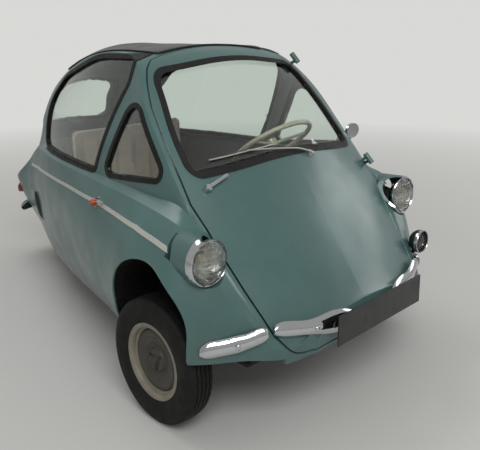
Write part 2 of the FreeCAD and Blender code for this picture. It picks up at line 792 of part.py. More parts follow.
blade = strip([on_bow(0, blade_h / 2, blade_bulge), on_bow(0.33, blade_h / 2, blade_bulge),
               on_bow(0.66, blade_h / 2, blade_bulge), on_bow(0.88, blade_h / 2 - 1, blade_bulge),
               on_bow(0.97, 25, 15), on_bow(1.0, 13, 11)], blade_t)
stay_z = blade_mid + 2
stay = rod((220, blade_y + 28, stay_z), (220, -1100, stay_z), 13)
keep("door_bumper", whole(joined([blade, stay]).cut(outer).common(half_space)))

# Number plate, in front of the blade on two bolts

plate = driven("Part::Box", "plate_face", Length="plate_width", Width="plate_sheet",
               Height="plate_height")
placed(plate, "-Sizes.plate_width / 2", "Sizes.plate_front_y",
       "Sizes.plate_centre_z - Sizes.plate_height / 2")
bolts = []
for place, x in enumerate((-150, 150)):
    bolt = driven("Part::Cylinder", "plate_bolt_%d" % place, Radius="plate_bolt_radius",
                  Height="plate_bolt_length")
    placed(bolt, "%g" % x, "Sizes.plate_front_y + 1", "%g" % blade_mid, V(0, 1, 0))
    bolts.append(bolt)
keep_made("number_plate", cut_from(fused("plate_with_bolts", plate, *bolts), parts["door_bumper"]))

# Corner blades on the fenders and beside the rear wheel

FENDER_BLADE = ((474, -1150, 408, 14, 9, 0.5), (480, -1147, 406, 25, 13, 0.52),
                (508, -1132, 397, 31, 16, 0.6), (558, -1097, 380, 32, 16, 0.74),
                (612, -1056, 369, 31, 16, 0.84), (650, -1026, 364, 25, 13, 0.98),
                (659, -1017, 363, 14, 9, 1.04))
REAR_BLADE = ((44, 1275, 316, 24, 9, 0.0), (60, 1273, 316, 31, 11, 0.0), (110, 1262, 315, 31, 11, 0.0),
              (166, 1237, 314, 28, 11, 0.0), (190, 1219, 314, 18, 9, 0.0))
fender_blade = strip(FENDER_BLADE, blade_t)
fender_stay = rod((559, -1095, 380), (520, -1030, 380), 11)
rear_blade = Part.makeLoft([section_back(*station) for station in REAR_BLADE], True, False)
rear_stay = rod((104, 1258, 316), (60, 1190, 330), 10)
corner_blades = [solids_of(joined([fender_blade, fender_stay]).cut(outer)),
                 solids_of(joined([rear_blade, rear_stay]).cut(outer))]
keep("corner_bumpers", solids_of(both_sides(Part.makeCompound(corner_blades))))

# Head lamps: chrome rim, reflector bowl and domed lens, turned about their axis

lamp_axis = V(lamp_x, 0, lamp_z)
rim_r = lamp_r + lamp_rim
dome = size("lamp_dome")


def at_lamp(radius, depth):
    return V(lamp_x + radius, lamp_y + depth, lamp_z)


def dome_arc(place, radius, edge, pole):
    """The arc of a dome from its edge to its pole, centred on the lamp's axis."""
    rise = edge - pole
    ball = (radius ** 2 + rise ** 2) / (2 * abs(rise))
    side = math.copysign(1, rise)
    middle = pole + side * ball
    half = math.atan2(radius, -side * (edge - middle)) / 2
    return Part.Arc(place(radius, edge), place(ball * math.sin(half), middle - side * ball * math.cos(half)),
                    place(0, pole)).toShape()


RIM = ((lamp_r, rim_depth), (lamp_r, -5), (lamp_r + 2, -8), (lamp_r + 5, -7), (lamp_r + 8, -1),
       (rim_r, 8), (rim_r, rim_depth), (lamp_r, rim_depth))
rim_ring = turned([Part.makeLine(at_lamp(*a), at_lamp(*b)) for a, b in zip(RIM, RIM[1:])], lamp_axis,
                  V(0, 1, 0))
bowl_edges = [Part.makeLine(at_lamp(lamp_r, 0), at_lamp(lamp_r, 6)),
              Part.makeLine(at_lamp(lamp_r, 6), at_lamp(lamp_r - 3, 6)),
              dome_arc(at_lamp, lamp_r - 3, 6, size("lamp_pocket") - 3),
              Part.makeLine(at_lamp(0, size("lamp_pocket") - 3), at_lamp(0, size("lamp_pocket") - 7)),
              dome_arc(at_lamp, lamp_r - 7, 0, size("lamp_pocket") - 7).reversed(),
              Part.makeLine(at_lamp(lamp_r - 7, 0), at_lamp(lamp_r, 0))]
lens_edges = [Part.makeLine(at_lamp(lamp_r, 0), at_lamp(lamp_r, -3)),
              dome_arc(at_lamp, lamp_r, -3, -dome - 3),
              Part.makeLine(at_lamp(0, -dome - 3), at_lamp(0, -dome)),
              dome_arc(at_lamp, lamp_r - 3, 0, -dome).reversed(),
              Part.makeLine(at_lamp(lamp_r - 3, 0), at_lamp(lamp_r, 0))]
keep("headlamp_rims", both_sides(solids_of(rim_ring.cut(door_cone(0)))))
keep("headlamp_bowls", both_sides(turned(bowl_edges, lamp_axis, V(0, 1, 0))))
lenses = both_sides(turned(lens_edges, lamp_axis, V(0, 1, 0)))

# Fog lamp, left side only

fog_r = size("fog_radius")
fog_d = size("fog_depth")
fog = V(size("fog_x"), size("fog_y"), size("fog_z"))


def at_fog(radius, depth):
    return fog + V(radius, depth, 0)


body_edges = [Part.makeLine(at_fog(fog_r, 0), at_fog(fog_r, 12)),
              dome_arc(at_fog, fog_r, 12, fog_d),
              Part.makeLine(at_fog(0, fog_d), at_fog(0, 0)),
              Part.makeLine(at_fog(0, 0), at_fog(fog_r, 0))]
lens_edges = [dome_arc(at_fog, fog_r - 4, 0, -9),
              Part.makeLine(at_fog(0, -9), at_fog(0, 0)),
              Part.makeLine(at_fog(0, 0), at_fog(fog_r - 4, 0))]
fog_shell = turned(body_edges, fog, V(0, 1, 0))
fog_stem = rod(tuple(fog + V(0, 20, -30)), tuple(fog + V(0, 60, -85)), 8)
keep("fog_lamp", solids_of(joined([fog_shell, fog_stem]).cut(outer)))
lenses = Part.makeCompound(lenses.Solids + [turned(lens_edges, fog, V(0, 1, 0))])
keep("lamp_lenses", lenses)

# Side indicators, trim strips, tail lamps

flash = V(0, -320, 725)
base = rod((540, flash.y, flash.z), (594, flash.y, flash.z), 19)
indicator = base.cut(outer)
amber = Part.makeCone(17, 10, 18, V(594, flash.y, flash.z), V(1, 0, 0))
keep("indicator_bases", both_sides(solids_of(indicator)))
keep("indicator_lenses", both_sides(amber))
TRIM = ((-880, 670), (-644, 706), (-378, 720), (-248, 721), (0, 719), (300, 710), (600, 688),
        (854, 650))
trim_half = 7.0
band = side_profile([(y, z + trim_half) for y, z in TRIM]
                    + [(y, z - trim_half) for y, z in reversed(TRIM)], 150, 800)
trim = band.common(seal_out).cut(outer).cut(fairing).cut(base)
keep("side_trim", both_sides(solids_of(trim)))
tail_dir = V(0.65, 0.76, 0).normalize()
tail_point = V(166, 1203, 435)
tail = rod(tuple(tail_point - tail_dir * 40), tuple(tail_point + tail_dir * 26), 27).cut(outer)
keep("tail_lamps", both_sides(solids_of(tail)))

# Door handle, wiper and mirror

handle_in = V(0.13, 0.75, -0.65)
grip_a = V(440, -812, 834) - handle_in * 18
grip_b = V(352, -815, 866) - handle_in * 18
handle = joined([rod(tuple(grip_a), tuple(grip_b), 7), rod(tuple(grip_a - handle_in * 5),
                 tuple(grip_a + handle_in * 60), 13)]).cut(outer)
keep("door_handle", mirrored(solids_of(handle)))
pivot = V(-100, -838, 884)
wiper_out = V(0, -0.75, 0.66)
tip = V(170, -826, 905) + wiper_out * 16
wiper = joined([rod(tuple(pivot - wiper_out * 40), tuple(pivot + wiper_out * 22), 8),
                rod(tuple(pivot + wiper_out * 16), tuple(tip), 4),
                rod(tuple(V(40, -812, 930) + wiper_out * 14), tuple(V(300, -800, 925) + wiper_out * 14), 5),
                rod(tuple(tip), tuple(V(170, -806, 928) + wiper_out * 14), 4)])
wiper = wiper.cut(outer).cut(mirrored(outer))
keep("wiper", mirrored(solids_of(wiper.cut(mirrored(parts["windscreen_seal"].Shape)))))
stalk = rod((528, -712, 850), (570, -704, 892), 6).cut(outer)
oval = Part.Face(Part.Wire(Part.Ellipse(V(576, -708, 914), 46, 34).toShape()))
oval.rotate(V(576, -708, 914), V(1, 0, 0), 90)
housing = oval.extrude(V(0, 12, 0))
keep("mirror", solids_of(joined([stalk, housing])))
pane = Part.Face(Part.Wire(Part.Ellipse(V(576, -696, 914), 42, 30).toShape()))
pane.rotate(V(576, -696, 914), V(1, 0, 0), 90)
keep("mirror_glass", pane.extrude(V(0, 2, 0)))

# Hinges: a fixed knuckle with its pin on the body, a turning one on the door or lid

hinge_pin = size("pin_radius")
knuckle_r = size("knuckle_radius")
knuckle_l = size("knuckle_length")
run_gap = size("running_gap")


def hinge(centre, axis, fixed_foot, moving_foot):
    """The fixed and the moving half of one hinge, their feet sunk in the skins."""
    low = centre - axis * knuckle_l
    high = centre + axis * knuckle_l
    half = side_gap / 2
    fixed = joined([rod(tuple(low), tuple(centre - axis * half), knuckle_r),
                    rod(tuple(low), tuple(high), hinge_pin),
                    rod(tuple(centre - axis * (knuckle_l / 2)), fixed_foot, 7)])
    fixed = fixed.cut(rod(tuple(centre - axis * half), tuple(high + axis * 5), knuckle_r + 3).cut(
        rod(tuple(low), tuple(high + axis * 5), hinge_pin)))
    moving = joined([rod(tuple(centre + axis * half), tuple(high), knuckle_r),
                     rod(tuple(centre + axis * (knuckle_l / 2)), moving_foot, 7)])
    moving = moving.cut(rod(tuple(low - axis * 5), tuple(high + axis * 5), hinge_pin + run_gap))
    moving = moving.cut(rod(tuple(low - axis * 5), tuple(centre + axis * half), knuckle_r + 3))
    return largest(fixed.cut(outer)), largest(moving.cut(outer))


door_low = V(500, -852, 813)
door_high = V(425, -472, 1250)
door_axis = (door_high - door_low).normalize()
low_pair = hinge(door_low, door_axis, (545, -770, 765), (480, -800, 770))
high_pair = hinge(door_high, door_axis, (428, -425, 1215), (436, -505, 1155))
keep("door_hinge_leaves", Part.makeCompound([low_pair[1], high_pair[1]]))
lid_pair = hinge(V(60, 969, 830), V(1, 0, 0), (47, 940, 820), (73, 1005, 745))
keep("engine_lid", solids_of(joined([whole(lid_skin), lid_pair[1], mirrored(lid_pair[1])])))
keep("hinge_brackets", Part.makeCompound([low_pair[0], high_pair[0], lid_pair[0],
                                          mirrored(lid_pair[0])]))

# Seat: cushion and back with rounded edges on a plain box


def rounded(name, item, radius, foot):
    """The block with every edge above its foot rounded."""
    doc.recompute()
    made = doc.addObject("Part::Fillet", name)
    made.Base = item
    made.Edges = [(i, radius, radius) for i, edge in enumerate(item.Shape.Edges, 1)
                  if edge.BoundBox.ZMin > foot + 1]
    return made


pad = driven("Part::Box", "cushion_block", Length="seat_width", Width="seat_depth",
             Height="seat_thickness")
placed(pad, "-Sizes.seat_width / 2", "Sizes.seat_front_y", "Sizes.seat_top - Sizes.seat_thickness")
seat_foot = size("seat_top") - size("seat_thickness")
keep_made("seat_cushion", rounded("cushion_rounded", pad, 30, seat_foot))
squab = driven("Part::Box", "squab_block", Length="squab_width", Width="back_thickness",
               Height="back_height")
placed(squab, "-Sizes.squab_width / 2", "Sizes.seat_front_y + Sizes.seat_depth", "Sizes.seat_top")
keep_made("seat_back", rounded("squab_rounded", squab, 24, size("seat_top")))
box = driven("Part::Box", "seat_base", Length="seat_base_width", Width="seat_base_depth",
             Height="seat_base_height")
placed(box, "-Sizes.seat_base_width / 2", "Sizes.seat_front_y + Sizes.seat_depth - Sizes.seat_base_depth",
       "Sizes.floor_height + Sizes.floor_sheet")
keep_made("seat_base", box)

# Steering: column from the floor, instrument pod, wheel on the column

rise = math.radians(size("steering_rise"))
along = V(0, math.cos(rise), math.sin(rise))
centre = V(size("steering_x"), size("steering_y"), size("steering_z"))
column_r = size("column_radius")
shaft_r = 9.0


def on_column(distance):
    return tuple(centre - along * distance)


below_floor = block(0, 500, -1200, 0, 0, floor_z + floor_t)
column = joined([rod(on_column(60), on_column(860), column_r),
                 rod(on_column(62), on_column(-10), shaft_r)]).cut(below_floor)
column = largest(column.cut(parts["floor_pan"].Shape))
keep("steering_column", column)
pod = block(-65, 65, -36, 30, -150, -80)
pod = pod.makeFillet(18, pod.Edges)
pod.Placement = FreeCAD.Placement(centre, FreeCAD.Rotation(V(0, 0, 1), along))
keep("dash_pod", solids_of(pod.cut(column)))
grip = Part.makeTorus(size("steering_radius"), size("steering_grip"))
grip_r = size("steering_radius")
spokes = [rod((0, 0, 0), (grip_r * math.cos(a), grip_r * math.sin(a), 0), 7)
          for a in (math.radians(200), math.radians(340))]
hub = Part.makeCylinder(27, 36, V(0, 0, -18))
bore = Part.makeCylinder(shaft_r + run_gap, 28.5, V(0, 0, -18))
steering_wheel = joined([grip, hub] + spokes).cut(bore)
steering_wheel.Placement = FreeCAD.Placement(centre, FreeCAD.Rotation(V(0, 0, 1), along))
keep("steering_wheel", steering_wheel)
doc.recompute()

# Output

bad = [o.Name for o in doc.Objects if "Invalid" in o.State or "Error" in o.State]
for name, item in parts.items():
    if item.Shape.isNull() or not item.Shape.isValid():
        bad.append(name)
if bad:
    raise RuntimeError("failed: " + ", ".join(bad))
os.makedirs("parts", exist_ok=True)
for name, item in parts.items():
    item.Shape.exportStep("parts/%s.step" % name)
    box = item.Shape.BoundBox
    print("%-22s solids %d volume %.4g box %.0f..%.0f %.0f..%.0f %.0f..%.0f" % (
        name, len(item.Shape.Solids), item.Shape.Volume,
        box.XMin, box.XMax, box.YMin, box.YMax, box.ZMin, box.ZMax))
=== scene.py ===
"""Looks of the bubble car: its finishes, tyres, wheels, roof, seat, lamps, wiper and trim, in a studio."""

import math

import bmesh
import bpy
from bpy.props import FloatProperty, FloatVectorProperty, IntProperty, PointerProperty
from mathutils import Matrix, Vector
from mathutils.bvhtree import BVHTree


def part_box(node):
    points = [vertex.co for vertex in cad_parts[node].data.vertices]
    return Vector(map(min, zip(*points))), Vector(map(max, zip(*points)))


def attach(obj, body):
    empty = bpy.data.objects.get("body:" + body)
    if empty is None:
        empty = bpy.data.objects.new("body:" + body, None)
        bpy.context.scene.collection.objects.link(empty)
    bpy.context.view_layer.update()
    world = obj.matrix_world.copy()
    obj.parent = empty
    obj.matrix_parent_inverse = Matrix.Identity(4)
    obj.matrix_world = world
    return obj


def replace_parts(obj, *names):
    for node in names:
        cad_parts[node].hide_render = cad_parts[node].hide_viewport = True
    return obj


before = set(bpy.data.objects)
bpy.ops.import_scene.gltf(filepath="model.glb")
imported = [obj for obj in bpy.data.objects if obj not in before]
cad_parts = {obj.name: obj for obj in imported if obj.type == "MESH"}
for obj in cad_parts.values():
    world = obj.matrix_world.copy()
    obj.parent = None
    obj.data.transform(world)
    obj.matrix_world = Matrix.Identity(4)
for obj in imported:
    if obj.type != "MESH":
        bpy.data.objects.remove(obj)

bl_info = {
    "name": "Bubble Car Looks",
    "version": (1, 0, 0),
    "blender": (4, 5, 0),
    "location": "3D View > Sidebar > Bubble Car",
    "description": "Finishes, tyres, wheels, roof, seat, lamps and trim of a three-wheeled bubble car",
    "category": "Object",
}

# Places and lengths in metres
MM = 0.001
WELD = 0.00002
LEFT_HUB = Vector((0.617, -0.755, 0.233))
RIGHT_HUB = Vector((-0.617, -0.755, 0.233))
REAR_HUB = Vector((0.0, 1.005, 0.233))
LAMP_CENTRE = Vector((0.582, -0.985, 0.650))
FOG_CENTRE = Vector((0.531, -1.118, 0.475))
ARCH_Y, ARCH_Z, ARCH_RADIUS = -0.747, 0.391, 0.2295
WELL_WALL = 0.4375
LINING_LIFT = 0.0008
SLOT_LIFT = 0.0006

BACKDROP = (0.85, 0.85, 0.84)
ALONG_X, ALONG_Y = Vector((1, 0, 0)), Vector((0, 1, 0))


def mm(x, y, z):
    """A point given in millimetres."""
    return Vector((x, y, z)) * MM


def linear(colour):
    """A screen colour as the numbers that a shader takes."""
    return tuple(c / 12.92 if c <= 0.04045 else ((c + 0.055) / 1.055) ** 2.4 for c in colour[:3]) + (1.0,)


# Finishes


class Finish:
    """A material on one shader, with its patterns read from object coordinates."""

    def __init__(self, name, colour, roughness, metallic=0.0, **sockets):
        self.material = bpy.data.materials.new(name)
        self.material.use_nodes = True
        self.tree = self.material.node_tree
        self.shader = self.tree.nodes["Principled BSDF"]
        self.colour = linear(colour)
        self.set("Base Color", self.colour)
        self.set("Roughness", roughness)
        self.set("Metallic", metallic)
        for socket, value in sockets.items():
            self.set(socket.replace("_", " "), value)
        self.place = self.tree.nodes.new("ShaderNodeTexCoord").outputs["Object"]
        self.height = None

    def set(self, socket, value):
        self.shader.inputs[socket].default_value = value

    def link(self, output, socket):
        self.tree.links.new(output, socket)

    def node(self, kind, **values):
        made = self.tree.nodes.new(kind)
        for name, value in values.items():
            setattr(made, name, value)
        return made

    def stretched(self, scale):
        mapping = self.node("ShaderNodeMapping")
        mapping.inputs["Scale"].default_value = scale
        self.link(self.place, mapping.inputs["Vector"])
        return mapping.outputs["Vector"]

    def noise(self, scale, detail=3.0, rough=0.5):
        made = self.node("ShaderNodeTexNoise")
        made.inputs["Scale"].default_value = scale
        made.inputs["Detail"].default_value = detail
        made.inputs["Roughness"].default_value = rough
        self.link(self.place, made.inputs["Vector"])
        return made.outputs["Fac"]

    def cells(self, scale, place=None):
        made = self.node("ShaderNodeTexVoronoi")
        made.inputs["Scale"].default_value = scale
        self.link(place or self.place, made.inputs["Vector"])
        return made.outputs["Distance"]

    def waves(self, scale, direction, distortion=0.0):
        made = self.node("ShaderNodeTexWave", bands_direction=direction)
        made.inputs["Scale"].default_value = scale
        made.inputs["Distortion"].default_value = distortion
        self.link(self.place, made.inputs["Vector"])
        return made.outputs["Fac"]

    def axis(self, name):
        split = self.node("ShaderNodeSeparateXYZ")
        self.link(self.place, split.inputs[0])
        return split.outputs[name]

    def spread(self, value, low, high, start=0.0, end=1.0):
        """value from low..high taken to start..end, and held there."""
        made = self.node("ShaderNodeMapRange")
        for name, number in (("From Min", low), ("From Max", high), ("To Min", start), ("To Max", end)):
            made.inputs[name].default_value = number
        self.link(value, made.inputs["Value"])
        return made.outputs["Result"]

    def times(self, first, second):
        made = self.node("ShaderNodeMath", operation="MULTIPLY")
        self.link(first, made.inputs[0])
        self.link(second, made.inputs[1])
        return made.outputs[0]

    def tint(self, share, colour):
        """The base colour moved towards another by share."""
        mix = self.node("ShaderNodeMix", data_type="RGBA")
        self.link(share, mix.inputs["Factor"])
        mix.inputs["A"].default_value = self.colour
        source = self.shader.inputs["Base Color"]
        if source.is_linked:
            self.link(source.links[0].from_socket, mix.inputs["A"])
        mix.inputs["B"].default_value = linear(colour)
        self.link(mix.outputs["Result"], self.shader.inputs["Base Color"])
        return self

    def roughen(self, value, low, high):
        self.link(self.spread(value, 0.3, 0.7, low, high), self.shader.inputs["Roughness"])
        return self

    def bump(self, value, depth):
        """Adds a relief of that depth in metres."""
        made = self.node("ShaderNodeBump")
        made.inputs["Distance"].default_value = depth
        self.link(value, made.inputs["Height"])
        if self.height is not None:
            self.link(self.height, made.inputs["Normal"])
        self.height = made.outputs["Normal"]
        self.link(self.height, self.shader.inputs["Normal"])
        return self

    def blend(self, share, other):
        """Shows another shader in place of this one, by share."""
        mix = self.node("ShaderNodeMixShader")
        self.link(share, mix.inputs[0])
        self.link(self.shader.outputs[0], mix.inputs[1])
        self.link(other.outputs[0], mix.inputs[2])
        self.link(mix.outputs[0], self.tree.nodes["Material Output"].inputs["Surface"])


def body_paint(colour, satin, mottle):
    f = Finish("body_paint", colour, satin, Coat_Weight=0.35, Coat_Roughness=0.16)
    cloudy = f.noise(2.6, 4.0, 0.55)
    f.tint(f.spread(cloudy, 0.42, 0.72, 0.0, 0.5 * mottle), [min(1, c * 1.16 + 0.03) for c in colour])
    f.tint(f.spread(f.noise(5.5, 5.0, 0.6), 0.5, 0.8, 0.0, 0.45 * mottle), [c * 0.82 for c in colour])
    f.tint(f.spread(f.noise(90.0, 4.0, 0.7), 0.62, 0.8, 0.0, 0.35 * mottle), (0.32, 0.38, 0.355))
    low = f.spread(f.axis("Z"), 0.22, 0.46, 1.0, 0.0)
    f.tint(f.times(low, f.spread(f.noise(14.0, 5.0), 0.35, 0.75, 0.05, 0.55)), (0.26, 0.28, 0.26))
    chips = f.spread(f.cells(26.0, f.stretched((1, 1, 1.4))), 0.055, 0.045, 0.0, 1.0)
    f.tint(f.times(chips, f.spread(f.noise(3.1, 2.0), 0.60, 0.66)), (0.20, 0.17, 0.14))
    f.roughen(f.noise(7.0, 4.0), satin - 0.06, satin + 0.10)
    f.bump(f.noise(420.0, 2.0), 0.00008)
    f.bump(f.noise(6.0, 2.0, 0.4), 0.0022)
    return f.material


def rubber_finish(name, colour):
    f = Finish(name, colour, 0.55, Specular_IOR_Level=0.35)
    f.tint(f.spread(f.noise(18.0, 4.0), 0.45, 0.75, 0.0, 0.6), [c * 1.5 + 0.03 for c in colour])
    f.roughen(f.noise(30.0), 0.45, 0.68)
    f.bump(f.noise(260.0, 3.0), 0.0002)
    return f.material


def chrome_finish(name="chrome", colour=(0.80, 0.81, 0.82), low=0.05, high=0.17):
    f = Finish(name, colour, low, 1.0)
    f.tint(f.spread(f.noise(9.0, 5.0, 0.65), 0.55, 0.8, 0.0, 0.55), (0.52, 0.50, 0.46))
    f.tint(f.spread(f.cells(150.0), 0.09, 0.03, 0.0, 0.6), (0.30, 0.25, 0.20))
    f.roughen(f.noise(22.0, 5.0), low, high)
    f.bump(f.noise(5.0, 2.0), 0.0006)
    return f.material


def pane_finish(name, colour, roughness=0.01):
    """Glass that bends little and lets the lamps through to the cabin."""
    f = Finish(name, colour, roughness, Transmission_Weight=1.0, IOR=1.45)
    f.bump(f.noise(2.2, 1.0), 0.0008)
    path = f.node("ShaderNodeLightPath")
    clear = f.node("ShaderNodeBsdfTransparent")
    clear.inputs["Color"].default_value = (0.90, 0.93, 0.91, 1.0)
    f.blend(path.outputs["Is Shadow Ray"], clear)
    return f


def lamp_glass(flutes):
    f = pane_finish("lamp_glass", (0.97, 0.98, 0.97), 0.03)
    f.bump(f.waves(flutes, "X"), 0.0016)
    f.bump(f.waves(flutes * 0.21, "Z"), 0.0007)
    return f.material


def lens_plastic(name, colour, rings):
    f = Finish(name, colour, 0.16, Transmission_Weight=0.35, IOR=1.49, Coat_Weight=0.5)
    f.tint(f.spread(f.noise(40.0), 0.5, 0.8, 0.0, 0.5), [c * 0.6 for c in colour])
    f.roughen(f.noise(60.0), 0.12, 0.26)
    f.bump(f.waves(rings, "Z"), 0.0012)
    return f.material


def vinyl_finish(colour):
    f = Finish("roof_vinyl", colour, 0.42, Sheen_Weight=0.12)
    f.tint(f.spread(f.noise(4.0, 5.0), 0.4, 0.75, 0.0, 0.55), [c * 1.7 + 0.03 for c in colour])
    f.tint(f.spread(f.noise(40.0, 5.0, 0.7), 0.6, 0.8, 0.0, 0.5), (0.46, 0.45, 0.44))
    f.roughen(f.noise(10.0, 4.0), 0.34, 0.56)
    f.bump(f.cells(420.0), 0.0005)
    f.bump(f.noise(26.0, 3.0), 0.0011)
    return f.material


def seat_finish(name, colour, weave):
    f = Finish(name, colour, 0.72, Sheen_Weight=0.25, Sheen_Roughness=0.5)
    f.tint(f.spread(f.noise(5.0, 4.0), 0.4, 0.75, 0.0, 0.6), [c * 1.22 for c in colour])
    f.tint(f.spread(f.noise(300.0, 2.0), 0.45, 0.7, 0.0, 0.5), [c * 0.62 for c in colour])
    f.tint(f.spread(f.noise(11.0, 5.0, 0.6), 0.6, 0.8, 0.0, 0.35), (0.26, 0.21, 0.17))
    f.bump(f.waves(weave, "X", 0.6), 0.0005)
    f.bump(f.waves(weave, "Y", 0.6), 0.0005)
    f.bump(f.waves(weave, "Z", 0.6), 0.0004)
    return f.material


def tyre_finish(colour):
    f = Finish("tyre_rubber", colour, 0.72, Specular_IOR_Level=0.3)
    f.tint(f.spread(f.noise(12.0, 5.0), 0.45, 0.75, 0.0, 0.5), (0.12, 0.115, 0.11))
    f.tint(f.spread(f.noise(70.0, 4.0, 0.7), 0.6, 0.8, 0.0, 0.4), (0.20, 0.18, 0.165))
    f.roughen(f.noise(25.0, 4.0), 0.6, 0.85)
    f.bump(f.noise(350.0, 3.0), 0.0003)
    return f.material


def wheel_paint(name, colour, dirt):
    f = Finish(name, colour, 0.45)
    f.tint(f.spread(f.noise(16.0, 5.0, 0.6), 0.38, 0.75, 0.0, dirt), (0.25, 0.22, 0.18))
    f.tint(f.spread(f.noise(75.0, 5.0, 0.7), 0.62, 0.75, 0.0, 0.75), (0.27, 0.17, 0.11))
    f.roughen(f.noise(20.0, 4.0), 0.38, 0.66)
    f.bump(f.noise(130.0, 3.0), 0.0004)
    return f.material


def steel_finish(name, colour, rust=0.4):
    f = Finish(name, colour, 0.5, 0.0, Specular_IOR_Level=0.5)
    f.tint(f.spread(f.noise(24.0, 5.0, 0.65), 0.5, 0.72, 0.0, rust), (0.24, 0.15, 0.10))
    f.tint(f.spread(f.noise(6.0, 4.0), 0.5, 0.8, 0.0, 0.5), [c * 1.8 + 0.04 for c in colour])
    f.roughen(f.noise(18.0, 4.0), 0.4, 0.7)
    f.bump(f.noise(160.0, 4.0), 0.0004)
    return f.material


def alloy_finish():
    f = Finish("cast_alloy", (0.52, 0.52, 0.51), 0.5, 0.85)
    f.tint(f.spread(f.noise(11.0, 5.0, 0.6), 0.4, 0.7, 0.0, 0.8), (0.20, 0.17, 0.14))
    f.roughen(f.noise(30.0, 4.0), 0.42, 0.72)
    f.bump(f.noise(240.0, 3.0), 0.0006)
    return f.material


def mat_finish():
    f = Finish("floor_mat", (0.20, 0.18, 0.16), 0.85)
    f.tint(f.spread(f.noise(9.0, 5.0), 0.4, 0.75, 0.0, 0.6), (0.31, 0.28, 0.24))
    f.bump(f.waves(60.0, "X"), 0.0012)
    f.bump(f.noise(500.0, 2.0), 0.0005)
    return f.material


# Near black, used as painted shade: the dark sheets in the wheel wells and the air slots.
def painted_shade_finish():
    f = Finish("painted_shade_black", (0.07, 0.068, 0.066), 0.85, Specular_IOR_Level=0.25)
    f.tint(f.spread(f.noise(11.0, 5.0, 0.6), 0.45, 0.75, 0.0, 0.7), (0.15, 0.13, 0.115))
    f.roughen(f.noise(40.0, 4.0), 0.7, 0.95)
    f.bump(f.cells(130.0), 0.0012)
    f.bump(f.noise(60.0, 5.0, 0.7), 0.0015)
    return f.material


def lining_finish():
    f = Finish("cabin_lining", (0.27, 0.265, 0.268), 0.62, Sheen_Weight=0.15)
    f.tint(f.spread(f.noise(5.0, 4.0), 0.4, 0.75, 0.0, 0.6), (0.35, 0.34, 0.34))
    f.tint(f.spread(f.noise(38.0, 5.0, 0.7), 0.6, 0.8, 0.0, 0.5), (0.19, 0.18, 0.175))
    f.roughen(f.noise(24.0, 4.0), 0.5, 0.75)
    f.bump(f.cells(520.0), 0.0004)
    f.bump(f.noise(18.0, 3.0), 0.0008)
    return f.material


def plastic_finish(name, colour, roughness=0.32):
    f = Finish(name, colour, roughness, Coat_Weight=0.2)
    f.tint(f.spread(f.noise(8.0, 4.0), 0.45, 0.8, 0.0, 0.6), [c * 0.78 for c in colour])
    f.tint(f.spread(f.noise(60.0, 4.0, 0.7), 0.62, 0.78, 0.0, 0.5), (0.33, 0.28, 0.20))
    f.roughen(f.noise(24.0, 3.0), roughness - 0.06, roughness + 0.14)
    f.bump(f.noise(200.0, 2.0), 0.00015)
    return f.material


# Shapes


def skin(*names):
    """A tree of the nodes' faces, to find points on their skins."""
    joined = bmesh.new()
    for name in names:
        joined.from_mesh(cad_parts[name].data)
    tree = BVHTree.FromBMesh(joined)
    joined.free()
    return tree


def struck(tree, start, direction):
    """The first point and its normal that a line from start meets."""
    point, normal, _, _ = tree.ray_cast(start, direction.normalized())
    if point is None:
        raise RuntimeError("a line from %s meets no skin" % (tuple(start),))
    if normal.dot(direction) > 0:
        normal = -normal
    return point, normal


def piece(name, form, finish, body, crease=35.0):
    """The finished piece: its mesh with its finish, on its body."""
    mesh = bpy.data.meshes.new(name)
    form.to_mesh(mesh)
    form.free()
    item = bpy.data.objects.new(name, mesh)
    bpy.context.scene.collection.objects.link(item)
    mesh.shade_smooth()
    mesh.set_sharp_from_angle(angle=math.radians(crease))
    mesh.materials.append(finish)
    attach(item, body)
    return item


def dress(finish, *nodes):
    """Puts a finish on carried-over nodes."""
    for name in nodes:
        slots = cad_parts[name].material_slots
        if not slots:
            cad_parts[name].data.materials.append(finish)
        for place in slots:
            place.material = finish


def settled(form):
    """The form with its doubled points joined and its faces turned outwards."""
    bmesh.ops.remove_doubles(form, verts=form.verts, dist=WELD)
    bmesh.ops.recalc_face_normals(form, faces=form.faces)
    return form


def spun(outline, centre, axis, steps=64, closed=True):
    """A form turned about an axis from (along, radius) points in millimetres."""
    form = bmesh.new()
    turn = ALONG_X.rotation_difference(axis)
    verts = [form.verts.new(centre + turn @ Vector((along * MM, 0, radius * MM)))
             for along, radius in outline]
    pairs = list(zip(verts, verts[1:])) + ([(verts[-1], verts[0])] if closed else [])
    edges = [form.edges.new(pair) for pair in pairs]
    bmesh.ops.spin(form, geom=verts + edges, cent=centre, axis=axis, angle=math.tau, steps=steps,
                   use_merge=True)
    return settled(form)


def tube(points, radius, closed=False, sides=3, smooth=True):
    """A round bar along points."""
    curve = bpy.data.curves.new("bar", "CURVE")
    curve.dimensions = "3D"
    spline = curve.splines.new("NURBS" if smooth else "POLY")
    spline.points.add(len(points) - 1)
    for knot, point in zip(spline.points, points):
        knot.co = (*point, 1.0)
    spline.use_cyclic_u = closed
    spline.order_u = 3
    spline.use_endpoint_u = not closed
    spline.resolution_u = 4
    curve.bevel_depth = radius
    curve.bevel_resolution = sides
    curve.use_fill_caps = not closed
    holder = bpy.data.objects.new("bar", curve)
    bpy.context.scene.collection.objects.link(holder)
    mesh = bpy.data.meshes.new_from_object(holder)
    form = bmesh.new()
    form.from_mesh(mesh)
    bpy.data.objects.remove(holder)
    bpy.data.curves.remove(curve)
    bpy.data.meshes.remove(mesh)
    return settled(form)


def added(form, other):
    """Joins another form into the first."""
    mesh = bpy.data.meshes.new("joined")
    other.to_mesh(mesh)
    other.free()
    form.from_mesh(mesh)
    bpy.data.meshes.remove(mesh)
    return form


